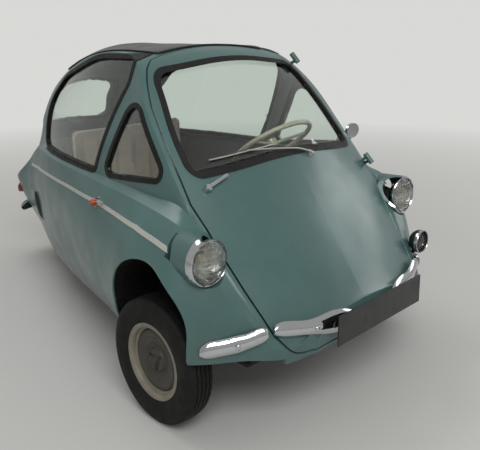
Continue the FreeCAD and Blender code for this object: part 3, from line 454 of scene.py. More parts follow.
def rounded_block(low, high, edge):
    """A block between two corners with rounded edges."""
    form = bmesh.new()
    place = Matrix.Translation((low + high) / 2) @ Matrix.Diagonal((*(high - low), 1))
    bmesh.ops.create_cube(form, size=1.0, matrix=place)
    bmesh.ops.bevel(form, geom=list(form.edges), offset=edge, segments=4, profile=0.5, affect="EDGES",
                    material=-1)
    return form


def lining(name, node, middle, finish):
    """The faces of a node that look towards middle, lifted off it as its trim."""
    form = bmesh.new()
    form.from_mesh(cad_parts[node].data)
    bmesh.ops.remove_doubles(form, verts=form.verts, dist=WELD)
    form.normal_update()
    away = [face for face in form.faces
            if face.normal.dot((face.calc_center_median() - middle).normalized()) > -0.15]
    bmesh.ops.delete(form, geom=away, context="FACES")
    form.normal_update()
    for vert in form.verts:
        vert.co += vert.normal * LINING_LIFT
    body = "door" if node == "door_panel" else "body"
    return piece(name, form, finish, body)


def dome_bolt(centre, out, radius):
    """A domed bolt head, in millimetres, that stands on centre."""
    outline = [(along * radius / 10, across * radius / 10) for along, across in
               ((-4, 9.2), (0.6, 9.2), (1.6, 10), (3.2, 9.4), (5.0, 7.6), (6.2, 4.6), (6.7, 0))]
    return spun(outline, centre, out, 28, False)


def between(rows, value):
    """The number at value, read between the (value, number) rows."""
    for (a, x), (b, y) in zip(rows, rows[1:]):
        if value <= b:
            return x + (y - x) * (value - a) / (b - a)
    return rows[-1][1]


# Settings


class BubblePaint(bpy.types.PropertyGroup):
    colour: FloatVectorProperty(name="Body colour", description="Paint of the body, door and lid",
                                subtype="COLOR", size=3, default=(0.262, 0.388, 0.378), min=0, max=1)
    satin: FloatProperty(name="Satin", description="Roughness of the paint", default=0.36, min=0.1, max=0.9)
    mottle: FloatProperty(name="Mottle", description="How cloudy the old paint is", default=0.8, min=0, max=1)
    lip_radius: FloatProperty(name="Arch lip", description="Radius of the rolled edge round the front arches",
                              default=0.0045, min=0.001, max=0.02, unit="LENGTH")


class BubbleTyre(bpy.types.PropertyGroup):
    steps: IntProperty(name="Steps", description="Divisions round a tyre", default=144, min=24, max=240)
    groove_depth: FloatProperty(name="Groove depth", description="Depth of the tread grooves",
                                default=0.005, min=0.001, max=0.01, unit="LENGTH")
    wander: FloatProperty(name="Wander", description="How far the grooves zigzag",
                          default=0.0011, min=0.0, max=0.003, unit="LENGTH")
    colour: FloatVectorProperty(name="Rubber colour", description="Colour of the tyres", subtype="COLOR",
                                size=3, default=(0.065, 0.062, 0.060), min=0, max=1)


class BubbleWheel(bpy.types.PropertyGroup):
    colour: FloatVectorProperty(name="Wheel colour", description="Paint of the pressed wheels",
                                subtype="COLOR", size=3, default=(0.52, 0.50, 0.45), min=0, max=1)
    dirt: FloatProperty(name="Dirt", description="Brake dust and dirt on the wheels", default=0.7,
                        min=0, max=1)


class BubbleRoof(bpy.types.PropertyGroup):
    colour: FloatVectorProperty(name="Roof colour", description="Colour of the roof cloth", subtype="COLOR",
                                size=3, default=(0.17, 0.155, 0.15), min=0, max=1)
    thickness: FloatProperty(name="Cloth", description="Thickness of the roof cloth", default=0.0025,
                             min=0.001, max=0.006, unit="LENGTH")
    fold: FloatProperty(name="Fold", description="Depth of the slack between the roof bows", default=0.004,
                        min=0.0, max=0.01, unit="LENGTH")
    welt: FloatProperty(name="Welt", description="Radius of the bead round the cloth", default=0.004,
                        min=0.001, max=0.01, unit="LENGTH")


class BubbleSeat(bpy.types.PropertyGroup):
    colour: FloatVectorProperty(name="Cover colour", description="Colour of the seat cover", subtype="COLOR",
                                size=3, default=(0.60, 0.52, 0.475), min=0, max=1)
    piping_colour: FloatVectorProperty(name="Piping colour", description="Colour of the piping",
                                       subtype="COLOR", size=3, default=(0.80, 0.78, 0.74), min=0, max=1)
    piping: FloatProperty(name="Piping", description="Radius of the piping", default=0.0045, min=0.001,
                          max=0.01, unit="LENGTH")
    voxel: FloatProperty(name="Voxel", description="Mesh size of the pads before they are blown up",
                         default=0.009, min=0.004, max=0.02, unit="LENGTH")
    swell: FloatProperty(name="Swell", description="How far a pad may swell", default=0.012, min=0.0,
                         max=0.03, unit="LENGTH")
    seam: FloatProperty(name="Seam depth", description="Depth of the sewn channels", default=0.005,
                        min=0.0, max=0.02, unit="LENGTH")


class BubbleStudio(bpy.types.PropertyGroup):
    floor: FloatVectorProperty(name="Floor", description="Colour of the floor", subtype="COLOR", size=3,
                               default=(0.80, 0.80, 0.79), min=0, max=1)
    world: FloatProperty(name="World light", description="Strength of the light from all round",
                         default=0.42, min=0, max=2)
    key: FloatProperty(name="Key light", description="Power of the main lamp in watts", default=150.0, min=0)
    fill: FloatProperty(name="Fill light", description="Power of the other lamps in watts",
                        default=40.0, min=0)


class BubbleCarSettings(bpy.types.PropertyGroup):
    paint: PointerProperty(type=BubblePaint)
    tyre: PointerProperty(type=BubbleTyre)
    wheel: PointerProperty(type=BubbleWheel)
    roof: PointerProperty(type=BubbleRoof)
    seat: PointerProperty(type=BubbleSeat)
    studio: PointerProperty(type=BubbleStudio)


# Operators


class BUBBLE_OT_studio(bpy.types.Operator):
    """Makes the floor, the soft light and the camera"""

    bl_idname = "bubble.studio"
    bl_label = "Studio"

    def execute(self, context):
        s = context.scene.bubble_car.studio
        floor = bmesh.new()
        bmesh.ops.create_circle(floor, cap_ends=True, segments=64, radius=60.0)
        mesh = bpy.data.meshes.new("floor")
        floor.to_mesh(mesh)
        floor.free()
        item = bpy.data.objects.new("floor", mesh)
        context.scene.collection.objects.link(item)
        f = Finish("studio_floor", s.floor, 0.6, Specular_IOR_Level=0.3)
        f.tint(f.spread(f.noise(180.0, 4.0, 0.7), 0.4, 0.7, 0.0, 0.35), [c * 0.93 for c in s.floor])
        f.bump(f.noise(220.0, 2.0), 0.0002)
        self.fade(f)
        mesh.materials.append(f.material)
        self.world(context.scene, s)
        self.lamp("key_lamp", (-2.6, -4.2, 4.6), (0, -0.2, 0.5), 3.2, s.key)
        self.lamp("fill_lamp", (4.6, -2.6, 2.6), (0, -0.4, 0.6), 2.6, s.fill)
        self.lamp("top_lamp", (-0.6, 1.6, 4.4), (0, 0.2, 0.8), 2.4, s.fill)
        self.camera(context.scene)
        context.scene.view_settings.view_transform = "Standard"
        return {"FINISHED"}

    def world(self, scene, s):
        sky = bpy.data.worlds.new("studio")
        scene.world = sky
        sky.use_nodes = True
        tree = sky.node_tree
        light = tree.nodes["Background"]
        light.inputs["Color"].default_value = (1.0, 0.99, 0.97, 1.0)
        light.inputs["Strength"].default_value = s.world
        seen = tree.nodes.new("ShaderNodeBackground")
        seen.inputs["Color"].default_value = linear(BACKDROP)
        mix = tree.nodes.new("ShaderNodeMixShader")
        tree.links.new(self.watched(tree), mix.inputs[0])
        tree.links.new(light.outputs[0], mix.inputs[1])
        tree.links.new(seen.outputs[0], mix.inputs[2])
        tree.links.new(mix.outputs[0], tree.nodes["World Output"].inputs["Surface"])

    def watched(self, tree):
        """1 where the eye looks, directly or through glass."""
        path = tree.nodes.new("ShaderNodeLightPath")
        join = tree.nodes.new("ShaderNodeMath")
        join.operation = "MAXIMUM"
        tree.links.new(path.outputs["Is Camera Ray"], join.inputs[0])
        tree.links.new(path.outputs["Is Transmission Ray"], join.inputs[1])
        return join.outputs[0]

    def fade(self, f):
        """Far from the car the floor takes the backdrop's colour, so no horizon shows."""
        reach = f.node("ShaderNodeVectorMath", operation="LENGTH")
        f.link(f.place, reach.inputs[0])
        far = f.spread(reach.outputs["Value"], 1.9, 6.5)
        seen = f.node("ShaderNodeEmission")
        seen.inputs["Color"].default_value = linear(BACKDROP)
        f.blend(f.times(far, self.watched(f.tree)), seen)

    def lamp(self, name, place, target, size, power):
        light = bpy.data.lights.new(name, "AREA")
        light.shape = "RECTANGLE"
        light.size = size
        light.size_y = size * 0.7
        light.energy = power
        item = bpy.data.objects.new(name, light)
        bpy.context.scene.collection.objects.link(item)
        item.location = place
        item.rotation_euler = (Vector(target) - Vector(place)).to_track_quat("-Z", "Y").to_euler()

    def camera(self, scene):
        """Stands where the photograph was taken from."""
        yaw, pitch, roll = 0.7776, 0.2209, -0.0067
        ahead = Vector((math.sin(yaw) * math.cos(pitch), math.cos(yaw) * math.cos(pitch), -math.sin(pitch)))
        level = Vector((math.cos(yaw), -math.sin(yaw), 0.0))
        above = level.cross(ahead)
        right = math.cos(roll) * level + math.sin(roll) * above
        up = -math.sin(roll) * level + math.cos(roll) * above
        eye = bpy.data.cameras.new("camera")
        eye.lens = 47.94
        eye.sensor_width = 36.0
        eye.shift_x, eye.shift_y = -0.0081, -0.1204
        item = bpy.data.objects.new("camera", eye)
        scene.collection.objects.link(item)
        item.matrix_world = Matrix.Translation((-1.878, -2.466, 1.408)) @ Matrix(
            (right, up, -ahead)).transposed().to_4x4()
        scene.camera = item


class BUBBLE_OT_bodywork(bpy.types.Operator):
    """Paints the body, door and lid, and rolls the edges of the front arches"""

    bl_idname = "bubble.bodywork"
    bl_label = "Bodywork"

    # Straight ends of the arch's edge, in metres, and the air slot's corners, in millimetres: y, z
    FRONT_FOOT = ((-0.9765, 0.326), (-0.9765, 0.360))
    REAR_FOOT = ((-0.4975, 0.345), (-0.4785, 0.302), (-0.4595, 0.260), (-0.4480, 0.234))
    SLOT = ((596, 555), (752, 533), (796, 458), (743, 420), (673, 393), (572, 406), (553, 507))

    def execute(self, context):
        s = context.scene.bubble_car.paint
        paint = body_paint(list(s.colour), s.satin, s.mottle)
        dress(paint, "body_tub", "cabin_frame", "door_panel", "engine_lid")
        dress(paint, "hinge_brackets", "door_hinge_leaves")
        dress(mat_finish(), "floor_pan", "rear_bulkhead")
        trim = lining_finish()
        lining("cabin_lining", "cabin_frame", Vector((0, -0.05, 0.78)), trim)
        lining("tub_lining", "body_tub", Vector((0, -0.2, 0.55)), trim)
        lining("door_lining", "door_panel", Vector((0, -0.45, 0.70)), trim)
        tub = skin("body_tub")
        # Near-black painted shade for the wheel wells and the air slots.
        painted_shade_black = painted_shade_finish()
        self.arches(tub, paint, painted_shade_black, s.lip_radius)
        self.slots(tub, paint, painted_shade_black)
        return {"FINISHED"}

    def arches(self, tub, paint, painted_shade_black, lip):
        """The front arches' rolled edges, and in each well a dark sheet that is painted shade."""
        for side, hand in ((1, "left"), (-1, "right")):
            edge = [(y, z, self.reach(tub, side, y, z)) for y, z in self.arch()]
            path = [Vector((side * (x - lip * 0.6), y, z)) for y, z, x in edge]
            piece("arch_lip_" + hand, tube(path, lip), paint, "body")
            # The dark sheet along the well is painted shade.
            form = bmesh.new()
            deep = [form.verts.new((side * WELL_WALL, y, z)) for y, z, x in edge]
            chain = [form.edges.new(pair) for pair in zip(deep, deep[1:])]
            grown = bmesh.ops.extrude_edge_only(form, edges=chain)["geom"]
            rows = {(round(y, 5), round(z, 5)): x for y, z, x in edge}
            for vert in grown:
                if isinstance(vert, bmesh.types.BMVert):
                    vert.co.x = side * (rows[(round(vert.co.y, 5), round(vert.co.z, 5))] - 0.007)
            bmesh.ops.contextual_create(form, geom=deep)
            piece("arch_well_shade_" + hand, settled(form), painted_shade_black, "body")

    def arch(self):
        """The opening's edge from its front foot over the wheel to its rear foot: y, z."""
        points = list(self.FRONT_FOOT)
        for step in range(37):
            angle = math.radians(180 - 180 * step / 36)
            points.append((ARCH_Y + ARCH_RADIUS * math.cos(angle), ARCH_Z + ARCH_RADIUS * math.sin(angle)))
        return points + list(self.REAR_FOOT)

    def reach(self, tub, side, y, z):
        """How far out the skin stands just outside the arch's edge."""
        away = Vector((0, y - ARCH_Y, max(0.0, z - ARCH_Z))).normalized() * 0.0028
        point = tub.ray_cast(Vector((side * 0.9, y + away.y, z + away.z)), Vector((-side, 0, 0)))[0]
        return abs(point.x) if point is not None and abs(point.x) > 0.5 else 0.6

    def slots(self, tub, paint, dark):
        """The air slots in the rear quarters: each a dark sheet on the skin that is painted shade of the
        opening, with its raised edge.
        """
        for side, hand in ((1, "left"), (-1, "right")):
            ring = [struck(tub, mm(side * 700, y, z), Vector((-side, 0, 0))) for y, z in self.SLOT]
            # The slot's dark fill on the skin is painted shade of the opening.
            form = bmesh.new()
            verts = [form.verts.new(point + normal * SLOT_LIFT) for point, normal in ring]
            bmesh.ops.contextual_create(form, geom=verts)
            bmesh.ops.triangulate(form, faces=form.faces)
            bmesh.ops.subdivide_edges(form, edges=form.edges, cuts=5, use_grid_fill=True)
            for vert in form.verts:
                point, normal = struck(tub, Vector((side * 0.7, vert.co.y, vert.co.z)), Vector((-side, 0, 0)))
                vert.co = point + normal * SLOT_LIFT
            piece("air_slot_" + hand, settled(form), dark, "body")
            rim = [point + normal * 0.0008 for point, normal in ring]
            piece("air_slot_edge_" + hand, tube(rim, 0.0032, True), paint, "body")


class BUBBLE_OT_glazing(bpy.types.Operator):
    """Puts glass and rubber in the window openings"""

    bl_idname = "bubble.glazing"
    bl_label = "Glazing"

    def execute(self, context):
        dress(pane_finish("window_glass", (0.93, 0.96, 0.94)).material, "window_glass", "windscreen_glass")
        dress(rubber_finish("seal_rubber", (0.05, 0.048, 0.048)), "window_seals", "windscreen_seal")
        return {"FINISHED"}


class BUBBLE_OT_roof(bpy.types.Operator):
    """Stretches the roof cloth over its frame, with the bead round its edge"""

    bl_idname = "bubble.roof"
    bl_label = "Roof"

    # The cloth's outline: half width by share of its length, and its ends by distance from the middle
    SIDES = ((0.0, 297), (0.1, 334), (0.44, 343), (0.74, 303), (1.0, 252))
    FRONT = ((0, -349), (270, -374), (300, -377))
    BACK = ((0, 502), (150, 487), (253, 427))
    BOWS = 3

    def execute(self, context):
        s = context.scene.bubble_car.roof
        vinyl = vinyl_finish(list(s.colour))
        under = skin("roof_cloth")
        form = bmesh.new()
        bmesh.ops.create_grid(form, x_segments=44, y_segments=60, size=1.0)
        for vert in form.verts:
            u, v = vert.co.x, (vert.co.y + 1) / 2
            x = u * between(self.SIDES, v)
            front = between(self.FRONT, min(self.FRONT[-1][0], abs(x)))
            y = front + v * (between(self.BACK, abs(x)) - front)
            point, normal = struck(under, mm(x, y, 1500), Vector((0, 0, -1)))
            edge = min(1.0, 6 * (1 - abs(u)), 9 * v, 9 * (1 - v))
            bows = 0.5 - 0.5 * math.cos(v * math.tau * self.BOWS)
            ripple = 0.25 * math.sin(x * 0.07 + 5 * v) * math.sin(11 * v + 1.3)
            vert.co = point + normal * (0.0005 - s.thickness - edge * s.fold * (bows * 0.8 + ripple * 0.5))
        area = sum(face.calc_area() for face in form.faces)
        bmesh.ops.recalc_face_normals(form, faces=form.faces)
        if sum(face.normal.z for face in form.faces) < 0:
            bmesh.ops.reverse_faces(form, faces=form.faces)
        border = [edge for edge in form.edges if edge.is_boundary]
        ring = [border[0].verts[0], border[0].verts[1]]
        used = {border[0]}
        while ring[-1] != ring[0]:
            step = next(e for e in ring[-1].link_edges if e.is_boundary and e not in used)
            used.add(step)
            ring.append(step.other_vert(ring[-1]))
        rim = [vert.co.copy() for vert in ring[:-1]][::2]
        sheet = piece("roof_sheet", form, vinyl, "body", 60)
        wall = sheet.modifiers.new("cloth", "SOLIDIFY")
        wall.thickness = s.thickness
        wall.offset = 1.0
        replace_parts(sheet, "roof_cloth")
        bead = piece("roof_bead", tube(rim, s.welt, True), rubber_finish("bead_rubber", (0.07, 0.065, 0.065)),
                     "body")
        return {"FINISHED"}


class BUBBLE_OT_tyres(bpy.types.Operator):
    """Fits ribbed tyres on the three wheels"""

    bl_idname = "bubble.tyres"
    bl_label = "Tyres"

    SIDE = ((41, 127), (41, 139), (43.5, 145), (47, 149), (49.5, 152), (49.3, 155), (51.5, 160), (54.2, 170),
            (55.8, 181), (55.9, 190), (55.0, 199), (55.6, 200), (55.4, 203), (54.2, 203.6), (52.6, 210),
            (49.5, 217), (47.0, 222), (46.6, 224), (43.5, 227.4), (41.0, 229.2), (39.0, 230.0))
    GROOVES = (-26.5, -9.0, 9.0, 26.5)

    def execute(self, context):
        s = context.scene.bubble_car.tyre
        rubber = tyre_finish(list(s.colour))
        self.depth, self.wander, self.steps = s.groove_depth / MM, s.wander, s.steps
        for name, centre, body in (("front_left_tyre", LEFT_HUB, "left_wheel"),
                                   ("front_right_tyre", RIGHT_HUB, "right_wheel"),
                                   ("rear_tyre", REAR_HUB, "back_wheel")):
            tyre = piece(name + "_tread", self.form(centre), rubber, body, 32)
            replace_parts(tyre, name)
        return {"FINISHED"}

    def form(self, centre):
        crown = [(x, self.top(x)) for x in (38, 34)]
        for groove in reversed(self.GROOVES):
            crown += [(groove + 2.2, self.top(groove)), (groove + 1.6, self.top(groove) - self.depth),
                      (groove - 1.6, self.top(groove) - self.depth), (groove - 2.2, self.top(groove)),
                      (groove - 8.7, self.top(groove - 8.7))]
        crown += [(-38, self.top(38))]
        outline = list(self.SIDE) + crown + [(-x, r) for x, r in reversed(self.SIDE)]
        form = spun(outline, centre, ALONG_X, self.steps)
        for vert in form.verts:
            y, z = vert.co.y - centre.y, vert.co.z - centre.z
            radius = math.hypot(y, z)
            step = round(math.atan2(z, y) / math.tau * self.steps)
            x = (vert.co.x - centre.x) / MM
            if radius > 0.2235 and any(abs(x - g) < 3 for g in self.GROOVES):
                vert.co.x += self.wander * (1 if step // 2 % 2 else -1)
            if 0.2265 < radius < 0.2303 and abs(x) > 38.5 and step % 3 == 0:
                scale = 1 - 0.0022 / radius
                vert.co.y, vert.co.z = centre.y + y * scale, centre.z + z * scale
        return form

    def top(self, x):
        """Radius of the crown across the tread."""
        return 232.8 - 2.8 * (x / 39) ** 2


class BUBBLE_OT_wheels(bpy.types.Operator):
    """Presses the steel wheels and adds their hubs and nuts"""

    bl_idname = "bubble.wheels"
    bl_label = "Wheels"

    BARREL = ((45, 142.5), (44, 143.4), (42.4, 142.8), (41.2, 139), (40.4, 131), (38, 127.2), (24, 126.6),
              (19, 118), (-19, 118), (-24, 126.6), (-38, 127.2), (-40.4, 131), (-41.2, 139), (-42.4, 142.8),
              (-44, 143.4), (-45, 142.5), (-44.4, 137), (-43.4, 128.5), (-40, 124.4), (-26, 123.8),
              (-21, 115.2), (21, 115.2), (26, 123.8), (40, 124.4), (43.4, 128.5), (44.4, 137))
    DISC = ((19, 117), (22, 115.5), (25.2, 112), (27.4, 107), (29.2, 100), (29.8, 95), (28.6, 89), (26.0, 84),
            (23.4, 80), (23.0, 76), (24.4, 73), (24.6, 69.5), (22.6, 66), (18.2, 60), (16.2, 55), (16.6, 50),
            (18.5, 47), (22.5, 44.5), (27.0, 41.5), (28.5, 38), (29.0, 27))
    CAP = ((29.0, 27), (31.5, 23.5), (33.5, 20), (39, 18.6), (41.0, 15), (41.8, 8), (42, 0))

    def execute(self, context):
        s = context.scene.bubble_car.wheel
        pale = wheel_paint("wheel_enamel", list(s.colour), s.dirt * 0.6)
        # The disc is the wheel paint darkened to 0.46 of it: partly dirt, partly painted shade of the
        # recessed disc.
        dirt_and_shade_disc = wheel_paint("wheel_disc_dirt_and_shade", [c * 0.46 for c in s.colour], s.dirt)
        hub = steel_finish("hub_steel", (0.16, 0.14, 0.12), 0.6)
        back = [(x - 3.2, r) for x, r in reversed(self.DISC)]
        for name, centre, side, body in (("front_left_rim", LEFT_HUB, 1, "left_wheel"),
                                         ("front_right_rim", RIGHT_HUB, -1, "right_wheel"),
                                         ("rear_rim", REAR_HUB, 1, "back_wheel")):
            axis = Vector((side, 0, 0))
            rim = spun(self.BARREL, centre, axis, 96)
            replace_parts(piece(name + "_barrel", rim, pale, body, 50), name)
            disc = spun(list(self.DISC) + back, centre, axis, 96)
            piece(name + "_disc", disc, dirt_and_shade_disc, body, 50)
            cap = spun(self.CAP, centre, axis, 48, False)
            for turn in range(3):
                angle = math.tau * turn / 3 + 0.4
                spot = centre + Vector((side * 0.0285, 0.034 * math.cos(angle), 0.034 * math.sin(angle)))
                nut = bmesh.new()
                bmesh.ops.create_cone(nut, cap_ends=True, segments=6, radius1=0.0062, radius2=0.0058,
                                      depth=0.008, matrix=Matrix.Translation(spot + axis * 0.003)
                                      @ axis.to_track_quat("Z", "Y").to_matrix().to_4x4())
                bmesh.ops.bevel(nut, geom=list(nut.edges), offset=0.0008, segments=2, profile=0.5,
                                affect="EDGES", material=-1)
                added(cap, nut)
            piece(name + "_hub", cap, hub, body)
        return {"FINISHED"}


class BUBBLE_OT_running_gear(bpy.types.Operator):
    """Finishes the axles, springs, frame and engine"""

    bl_idname = "bubble.running_gear"
    bl_label = "Running gear"

    def execute(self, context):
        steel = steel_finish("black_steel", (0.09, 0.088, 0.085))
        dress(steel, "knuckle_left", "knuckle_right", "front_axle_beam", "front_spring_units",
              "chassis_rails", "rear_arm", "rear_axle")
        dress(alloy_finish(), "engine_block")
        return {"FINISHED"}


class BUBBLE_OT_brightwork(bpy.types.Operator):
    """Plates the bumpers, lamp rims, handle and mirror, and finishes the plate and the lenses"""

    bl_idname = "bubble.brightwork"
    bl_label = "Brightwork and lamps"

    FOG_RING = ((7, 50.2), (-2, 51.2), (-5.5, 51.0), (-8, 49.4), (-8.6, 47.2), (-6.5, 45.6), (-3, 45.4),
                (1.5, 47.5), (7, 47.5))
    BULB = ((56, 13), (44, 13), (42, 9.5), (36, 9.5), (30, 10.5), (24, 10), (19, 7.5), (16.5, 4), (15.5, 0))

    def execute(self, context):
        chrome = chrome_finish()
        dress(chrome, "door_bumper", "corner_bumpers", "headlamp_rims", "indicator_bases", "door_handle",
              "mirror")
        dress(steel_finish("fog_lamp_black", (0.055, 0.055, 0.055), 0.15), "fog_lamp")
        piece("fog_lamp_ring", spun(self.FOG_RING, FOG_CENTRE, ALONG_Y), chrome, "body")
        self.bolts(chrome)
        strip = Finish("side_strip", (0.84, 0.84, 0.82), 0.3, 0.8)
        dress(strip.roughen(strip.noise(30.0), 0.24, 0.42).material, "side_trim")
        dress(chrome_finish("reflector", (0.86, 0.86, 0.85), 0.08, 0.16), "headlamp_bowls")
        dress(chrome_finish("mirror_silver", (0.90, 0.91, 0.91), 0.015, 0.04), "mirror_glass")
        dress(lamp_glass(95.0), "lamp_lenses")
        dress(lens_plastic("amber_lens", (0.86, 0.36, 0.06), 190.0), "indicator_lenses")
        dress(lens_plastic("red_lens", (0.55, 0.03, 0.03), 190.0), "tail_lamps")
        dress(plastic_finish("plate_black", (0.055, 0.055, 0.058), 0.3), "number_plate")
        for side, hand in ((1, "left"), (-1, "right")):
            spot = Vector((side * LAMP_CENTRE.x, LAMP_CENTRE.y, LAMP_CENTRE.z))
            glow = plastic_finish("bulb_" + hand, (0.78, 0.74, 0.62), 0.12)
            piece("lamp_bulb_" + hand, spun(self.BULB, spot, ALONG_Y, 32, False), glow, "body")
        return {"FINISHED"}

    def bolts(self, chrome):
        """The domed bolts that hold the bumper blades."""
        for node, body, spots in (("door_bumper", "door", ((-300, 395), (300, 395))),
                                  ("corner_bumpers", "body", ((-560, 380), (560, 380)))):
            blade = skin(node)
            form = bmesh.new()
            for x, z in spots:
                point, normal = struck(blade, mm(x, -1500, z), ALONG_Y)
                added(form, dome_bolt(point, normal, 9.5))
            piece(node + "_bolts", form, chrome, body)


class BUBBLE_OT_wipers(bpy.types.Operator):
    """Makes the wiper's spindle, arm and blade on the windscreen"""

    bl_idname = "bubble.wipers"
    bl_label = "Wiper"

    CAP = ((-4, 11), (3, 11), (5, 9.5), (7, 9), (14, 8.4), (17, 6.5), (18.5, 3), (19, 0))
    # Across the glass: x, height, lift off it, and the blade's x, height
    ARM = ((53, 913, 13), (-20, 922, 13), (-117, 929, 13), (-204, 933, 12))
    BLADE = ((-364, 919), (-200, 933), (-64, 941))

    def execute(self, context):
        glass = skin("windscreen_glass", "windscreen_seal", "door_panel")
        arm_metal = chrome_finish("wiper_metal", (0.80, 0.79, 0.76), 0.42, 0.6)
        out = Vector((0, -0.75, 0.66)).normalized()

        def lifted(x, z, rise):
            point, normal = struck(glass, mm(x, -1400, z), ALONG_Y)
            return point + normal * rise * MM

        spindle = lifted(104, 889, 0)
        cap = spun(self.CAP, spindle, out, 32, False)
        route = [spindle + out * 0.014] + [lifted(*spot) for spot in self.ARM]
        arm = tube(route, 0.0036, sides=2)
        added(arm, cap)
        added(arm, tube([route[0], route[0] * 0.6 + route[1] * 0.4], 0.0062, sides=2, smooth=False))
        piece("wiper_arm", arm, arm_metal, "door")
        line = [lifted(x, between(self.BLADE, x), 8) for x in range(-70, -371, -30)]
        spine = tube(line, 0.0032, sides=2)
        for spot in line[1::4]:
            claw = tube([spot + out * 0.001, spot - out * 0.005], 0.003, sides=1, smooth=False)
            added(spine, claw)
        holder = piece("wiper_blade", spine, arm_metal, "door")
        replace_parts(holder, "wiper")
        edge = tube([lifted(x, between(self.BLADE, x) - 1, 3.2) for x in range(-64, -377, -30)], 0.0028,
                    sides=2)
        piece("wiper_rubber", edge, rubber_finish("wiper_rubber", (0.06, 0.06, 0.06)), "door")
        return {"FINISHED"}


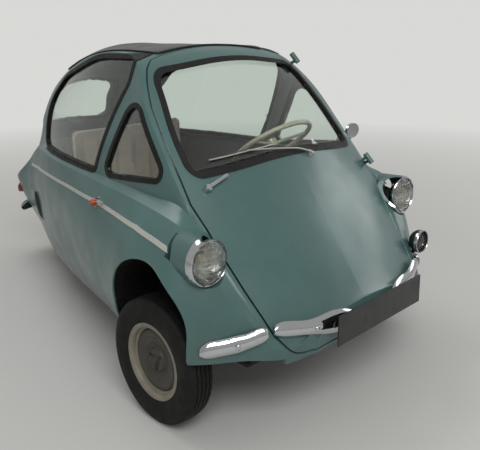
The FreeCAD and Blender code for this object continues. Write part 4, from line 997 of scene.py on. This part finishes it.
class BUBBLE_OT_seat(bpy.types.Operator):
    """Pads the bench seat and its back, with sewn channels and piping"""

    bl_idname = "bubble.seat"
    bl_label = "Seat"

    def execute(self, context):
        s = context.scene.bubble_car.seat
        cover = seat_finish("seat_cloth", list(s.colour), 900.0)
        cord = seat_finish("seat_piping", list(s.piping_colour), 1400.0)
        dress(seat_finish("seat_base_cloth", [c * 0.7 for c in s.colour], 700.0), "seat_base")
        low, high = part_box("seat_cushion")
        channels = [x * MM for x in range(-300, 301, 100)]
        pad = self.pad("seat_cushion_pad", low, high, cover, s)
        self.sew(pad, [(0, x, s.seam, lambda p: p.z > high.z - 0.06) for x in channels])
        self.pipe("seat_cushion_piping", pad, [
            Vector((x, y, high.z - 0.016)) for x, y in self.border(low, high)], cord, s)
        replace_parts(pad, "seat_cushion")
        low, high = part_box("seat_back")
        squab = self.pad("seat_back_pad", low, high, cover, s)
        self.sew(squab, [(0, x, s.seam, lambda p: p.y < low.y + 0.03) for x in channels[1:-1]])
        self.pipe("seat_back_piping", squab, [
            Vector((x, low.y + 0.010, z)) for x, z in self.border(Vector((low.x, low.z, 0)),
                                                                  Vector((high.x, high.z, 0)))], cord, s)
        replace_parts(squab, "seat_back")
        return {"FINISHED"}

    def border(self, low, high, corner=0.05):
        """A rounded border just inside the two corners, as pairs."""
        x0, y0, x1, y1 = low.x + 0.009, low.y + 0.009, high.x - 0.009, high.y - 0.009
        points = []
        for cx, cy, start in ((x1 - corner, y1 - corner, 0), (x0 + corner, y1 - corner, 90),
                              (x0 + corner, y0 + corner, 180), (x1 - corner, y0 + corner, 270)):
            for turn in (0, 30, 60, 90):
                angle = math.radians(start + turn)
                points.append((cx + corner * math.cos(angle), cy + corner * math.sin(angle)))
        full = []
        for (ax, ay), (bx, by) in zip(points, points[1:] + points[:1]):
            count = max(1, int(math.hypot(bx - ax, by - ay) / 0.04))
            full += [(ax + (bx - ax) * k / count, ay + (by - ay) * k / count) for k in range(count)]
        return full

    def pad(self, name, low, high, cover, s):
        """A block blown up like stuffing in a sewn cover."""
        inset = Vector((0.007, 0.007, 0.007))
        form = rounded_block(low + inset, high - inset, 0.028)
        pad = piece(name, form, cover, "body", 180)
        remesh = pad.modifiers.new("remesh", "REMESH")
        remesh.mode = "VOXEL"
        remesh.voxel_size = s.voxel
        self.apply(pad)
        rest = [v.co.copy() for v in pad.data.vertices]
        cloth = pad.modifiers.new("stuffing", "CLOTH")
        cloth.settings.use_pressure = True
        cloth.settings.uniform_pressure_force = 4.0
        cloth.settings.effector_weights.gravity = 0.0
        cloth.settings.quality = 4
        for step in range(1, 21):
            bpy.context.scene.frame_set(step)
        self.apply(pad)
        bpy.context.scene.frame_set(1)
        for vert, start in zip(pad.data.vertices, rest):
            move = vert.co - start
            if move.length > s.swell:
                move *= s.swell / move.length
            vert.co = start + move
            for k in range(3):
                vert.co[k] = min(max(vert.co[k], low[k] - 0.004), high[k] + 0.006)
            vert.co.z = max(vert.co.z, low.z + 0.001)
        pad.data.shade_smooth()
        return pad

    def apply(self, pad):
        """Keeps the shape that the pad's modifiers give it."""
        depsgraph = bpy.context.evaluated_depsgraph_get()
        made = bpy.data.meshes.new_from_object(pad.evaluated_get(depsgraph))
        pad.modifiers.clear()
        pad.data = made

    def sew(self, pad, seams):
        """Draws the cover in along seams: axis, place, depth and where it shows."""
        form = bmesh.new()
        form.from_mesh(pad.data)
        bmesh.ops.subdivide_edges(form, edges=form.edges, cuts=1, smooth=1.0, use_grid_fill=True)
        form.normal_update()
        moves = {}
        for vert in form.verts:
            for axis, place, depth, shows in seams:
                away = abs(vert.co[axis] - place)
                if away < 0.05 and shows(vert.co):
                    drop = depth * math.exp(-(away / 0.006) ** 2)
                    moves[vert] = moves.get(vert, 0.0) + drop
        for vert, drop in moves.items():
            vert.co -= vert.normal * drop
        form.to_mesh(pad.data)
        form.free()
        pad.data.shade_smooth()

    def pipe(self, name, pad, path, finish, s):
        """A piped seam on the pad's edge."""
        form = bmesh.new()
        form.from_mesh(pad.data)
        tree = BVHTree.FromBMesh(form)
        form.free()
        route = []
        for point in path:
            spot, normal, _, _ = tree.find_nearest(point)
            route.append(spot + normal * s.piping * 0.4)
        piece(name, tube(route, s.piping, True, 2), finish, "body")


class BUBBLE_OT_steering(bpy.types.Operator):
    """Finishes the steering wheel, its column and the instrument pod"""

    bl_idname = "bubble.steering"
    bl_label = "Steering"

    def execute(self, context):
        dress(plastic_finish("wheel_cream", (0.60, 0.575, 0.51)), "steering_wheel")
        dress(steel_finish("column_paint", (0.20, 0.21, 0.21), 0.2), "steering_column")
        dress(plastic_finish("pod_plastic", (0.40, 0.395, 0.385), 0.4), "dash_pod")
        return {"FINISHED"}


ORDER = (BUBBLE_OT_studio, BUBBLE_OT_bodywork, BUBBLE_OT_glazing, BUBBLE_OT_roof, BUBBLE_OT_tyres,
         BUBBLE_OT_wheels, BUBBLE_OT_running_gear, BUBBLE_OT_brightwork, BUBBLE_OT_wipers, BUBBLE_OT_seat,
         BUBBLE_OT_steering)


class BUBBLE_PT_panel(bpy.types.Panel):
    """Lists the pieces' operators and their settings"""

    bl_idname = "BUBBLE_PT_panel"
    bl_label = "Bubble Car"
    bl_space_type = "VIEW_3D"
    bl_region_type = "UI"
    bl_category = "Bubble Car"

    def draw(self, context):
        settings = context.scene.bubble_car
        for part in (settings.paint, settings.tyre, settings.wheel, settings.roof, settings.seat,
                     settings.studio):
            box = self.layout.box()
            for name in part.__annotations__:
                box.prop(part, name)
        for operator in ORDER:
            self.layout.operator(operator.bl_idname)


CLASSES = (BubblePaint, BubbleTyre, BubbleWheel, BubbleRoof, BubbleSeat, BubbleStudio, BubbleCarSettings,
           *ORDER, BUBBLE_PT_panel)


def register():
    for cls in CLASSES:
        bpy.utils.register_class(cls)
    bpy.types.Scene.bubble_car = PointerProperty(type=BubbleCarSettings)


def unregister():
    del bpy.types.Scene.bubble_car
    for cls in reversed(CLASSES):
        bpy.utils.unregister_class(cls)


def main():
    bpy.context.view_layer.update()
    register()
    for operator in ORDER:
        group, name = operator.bl_idname.split(".")
        getattr(getattr(bpy.ops, group), name)()


if __name__ == "__main__":
    main()
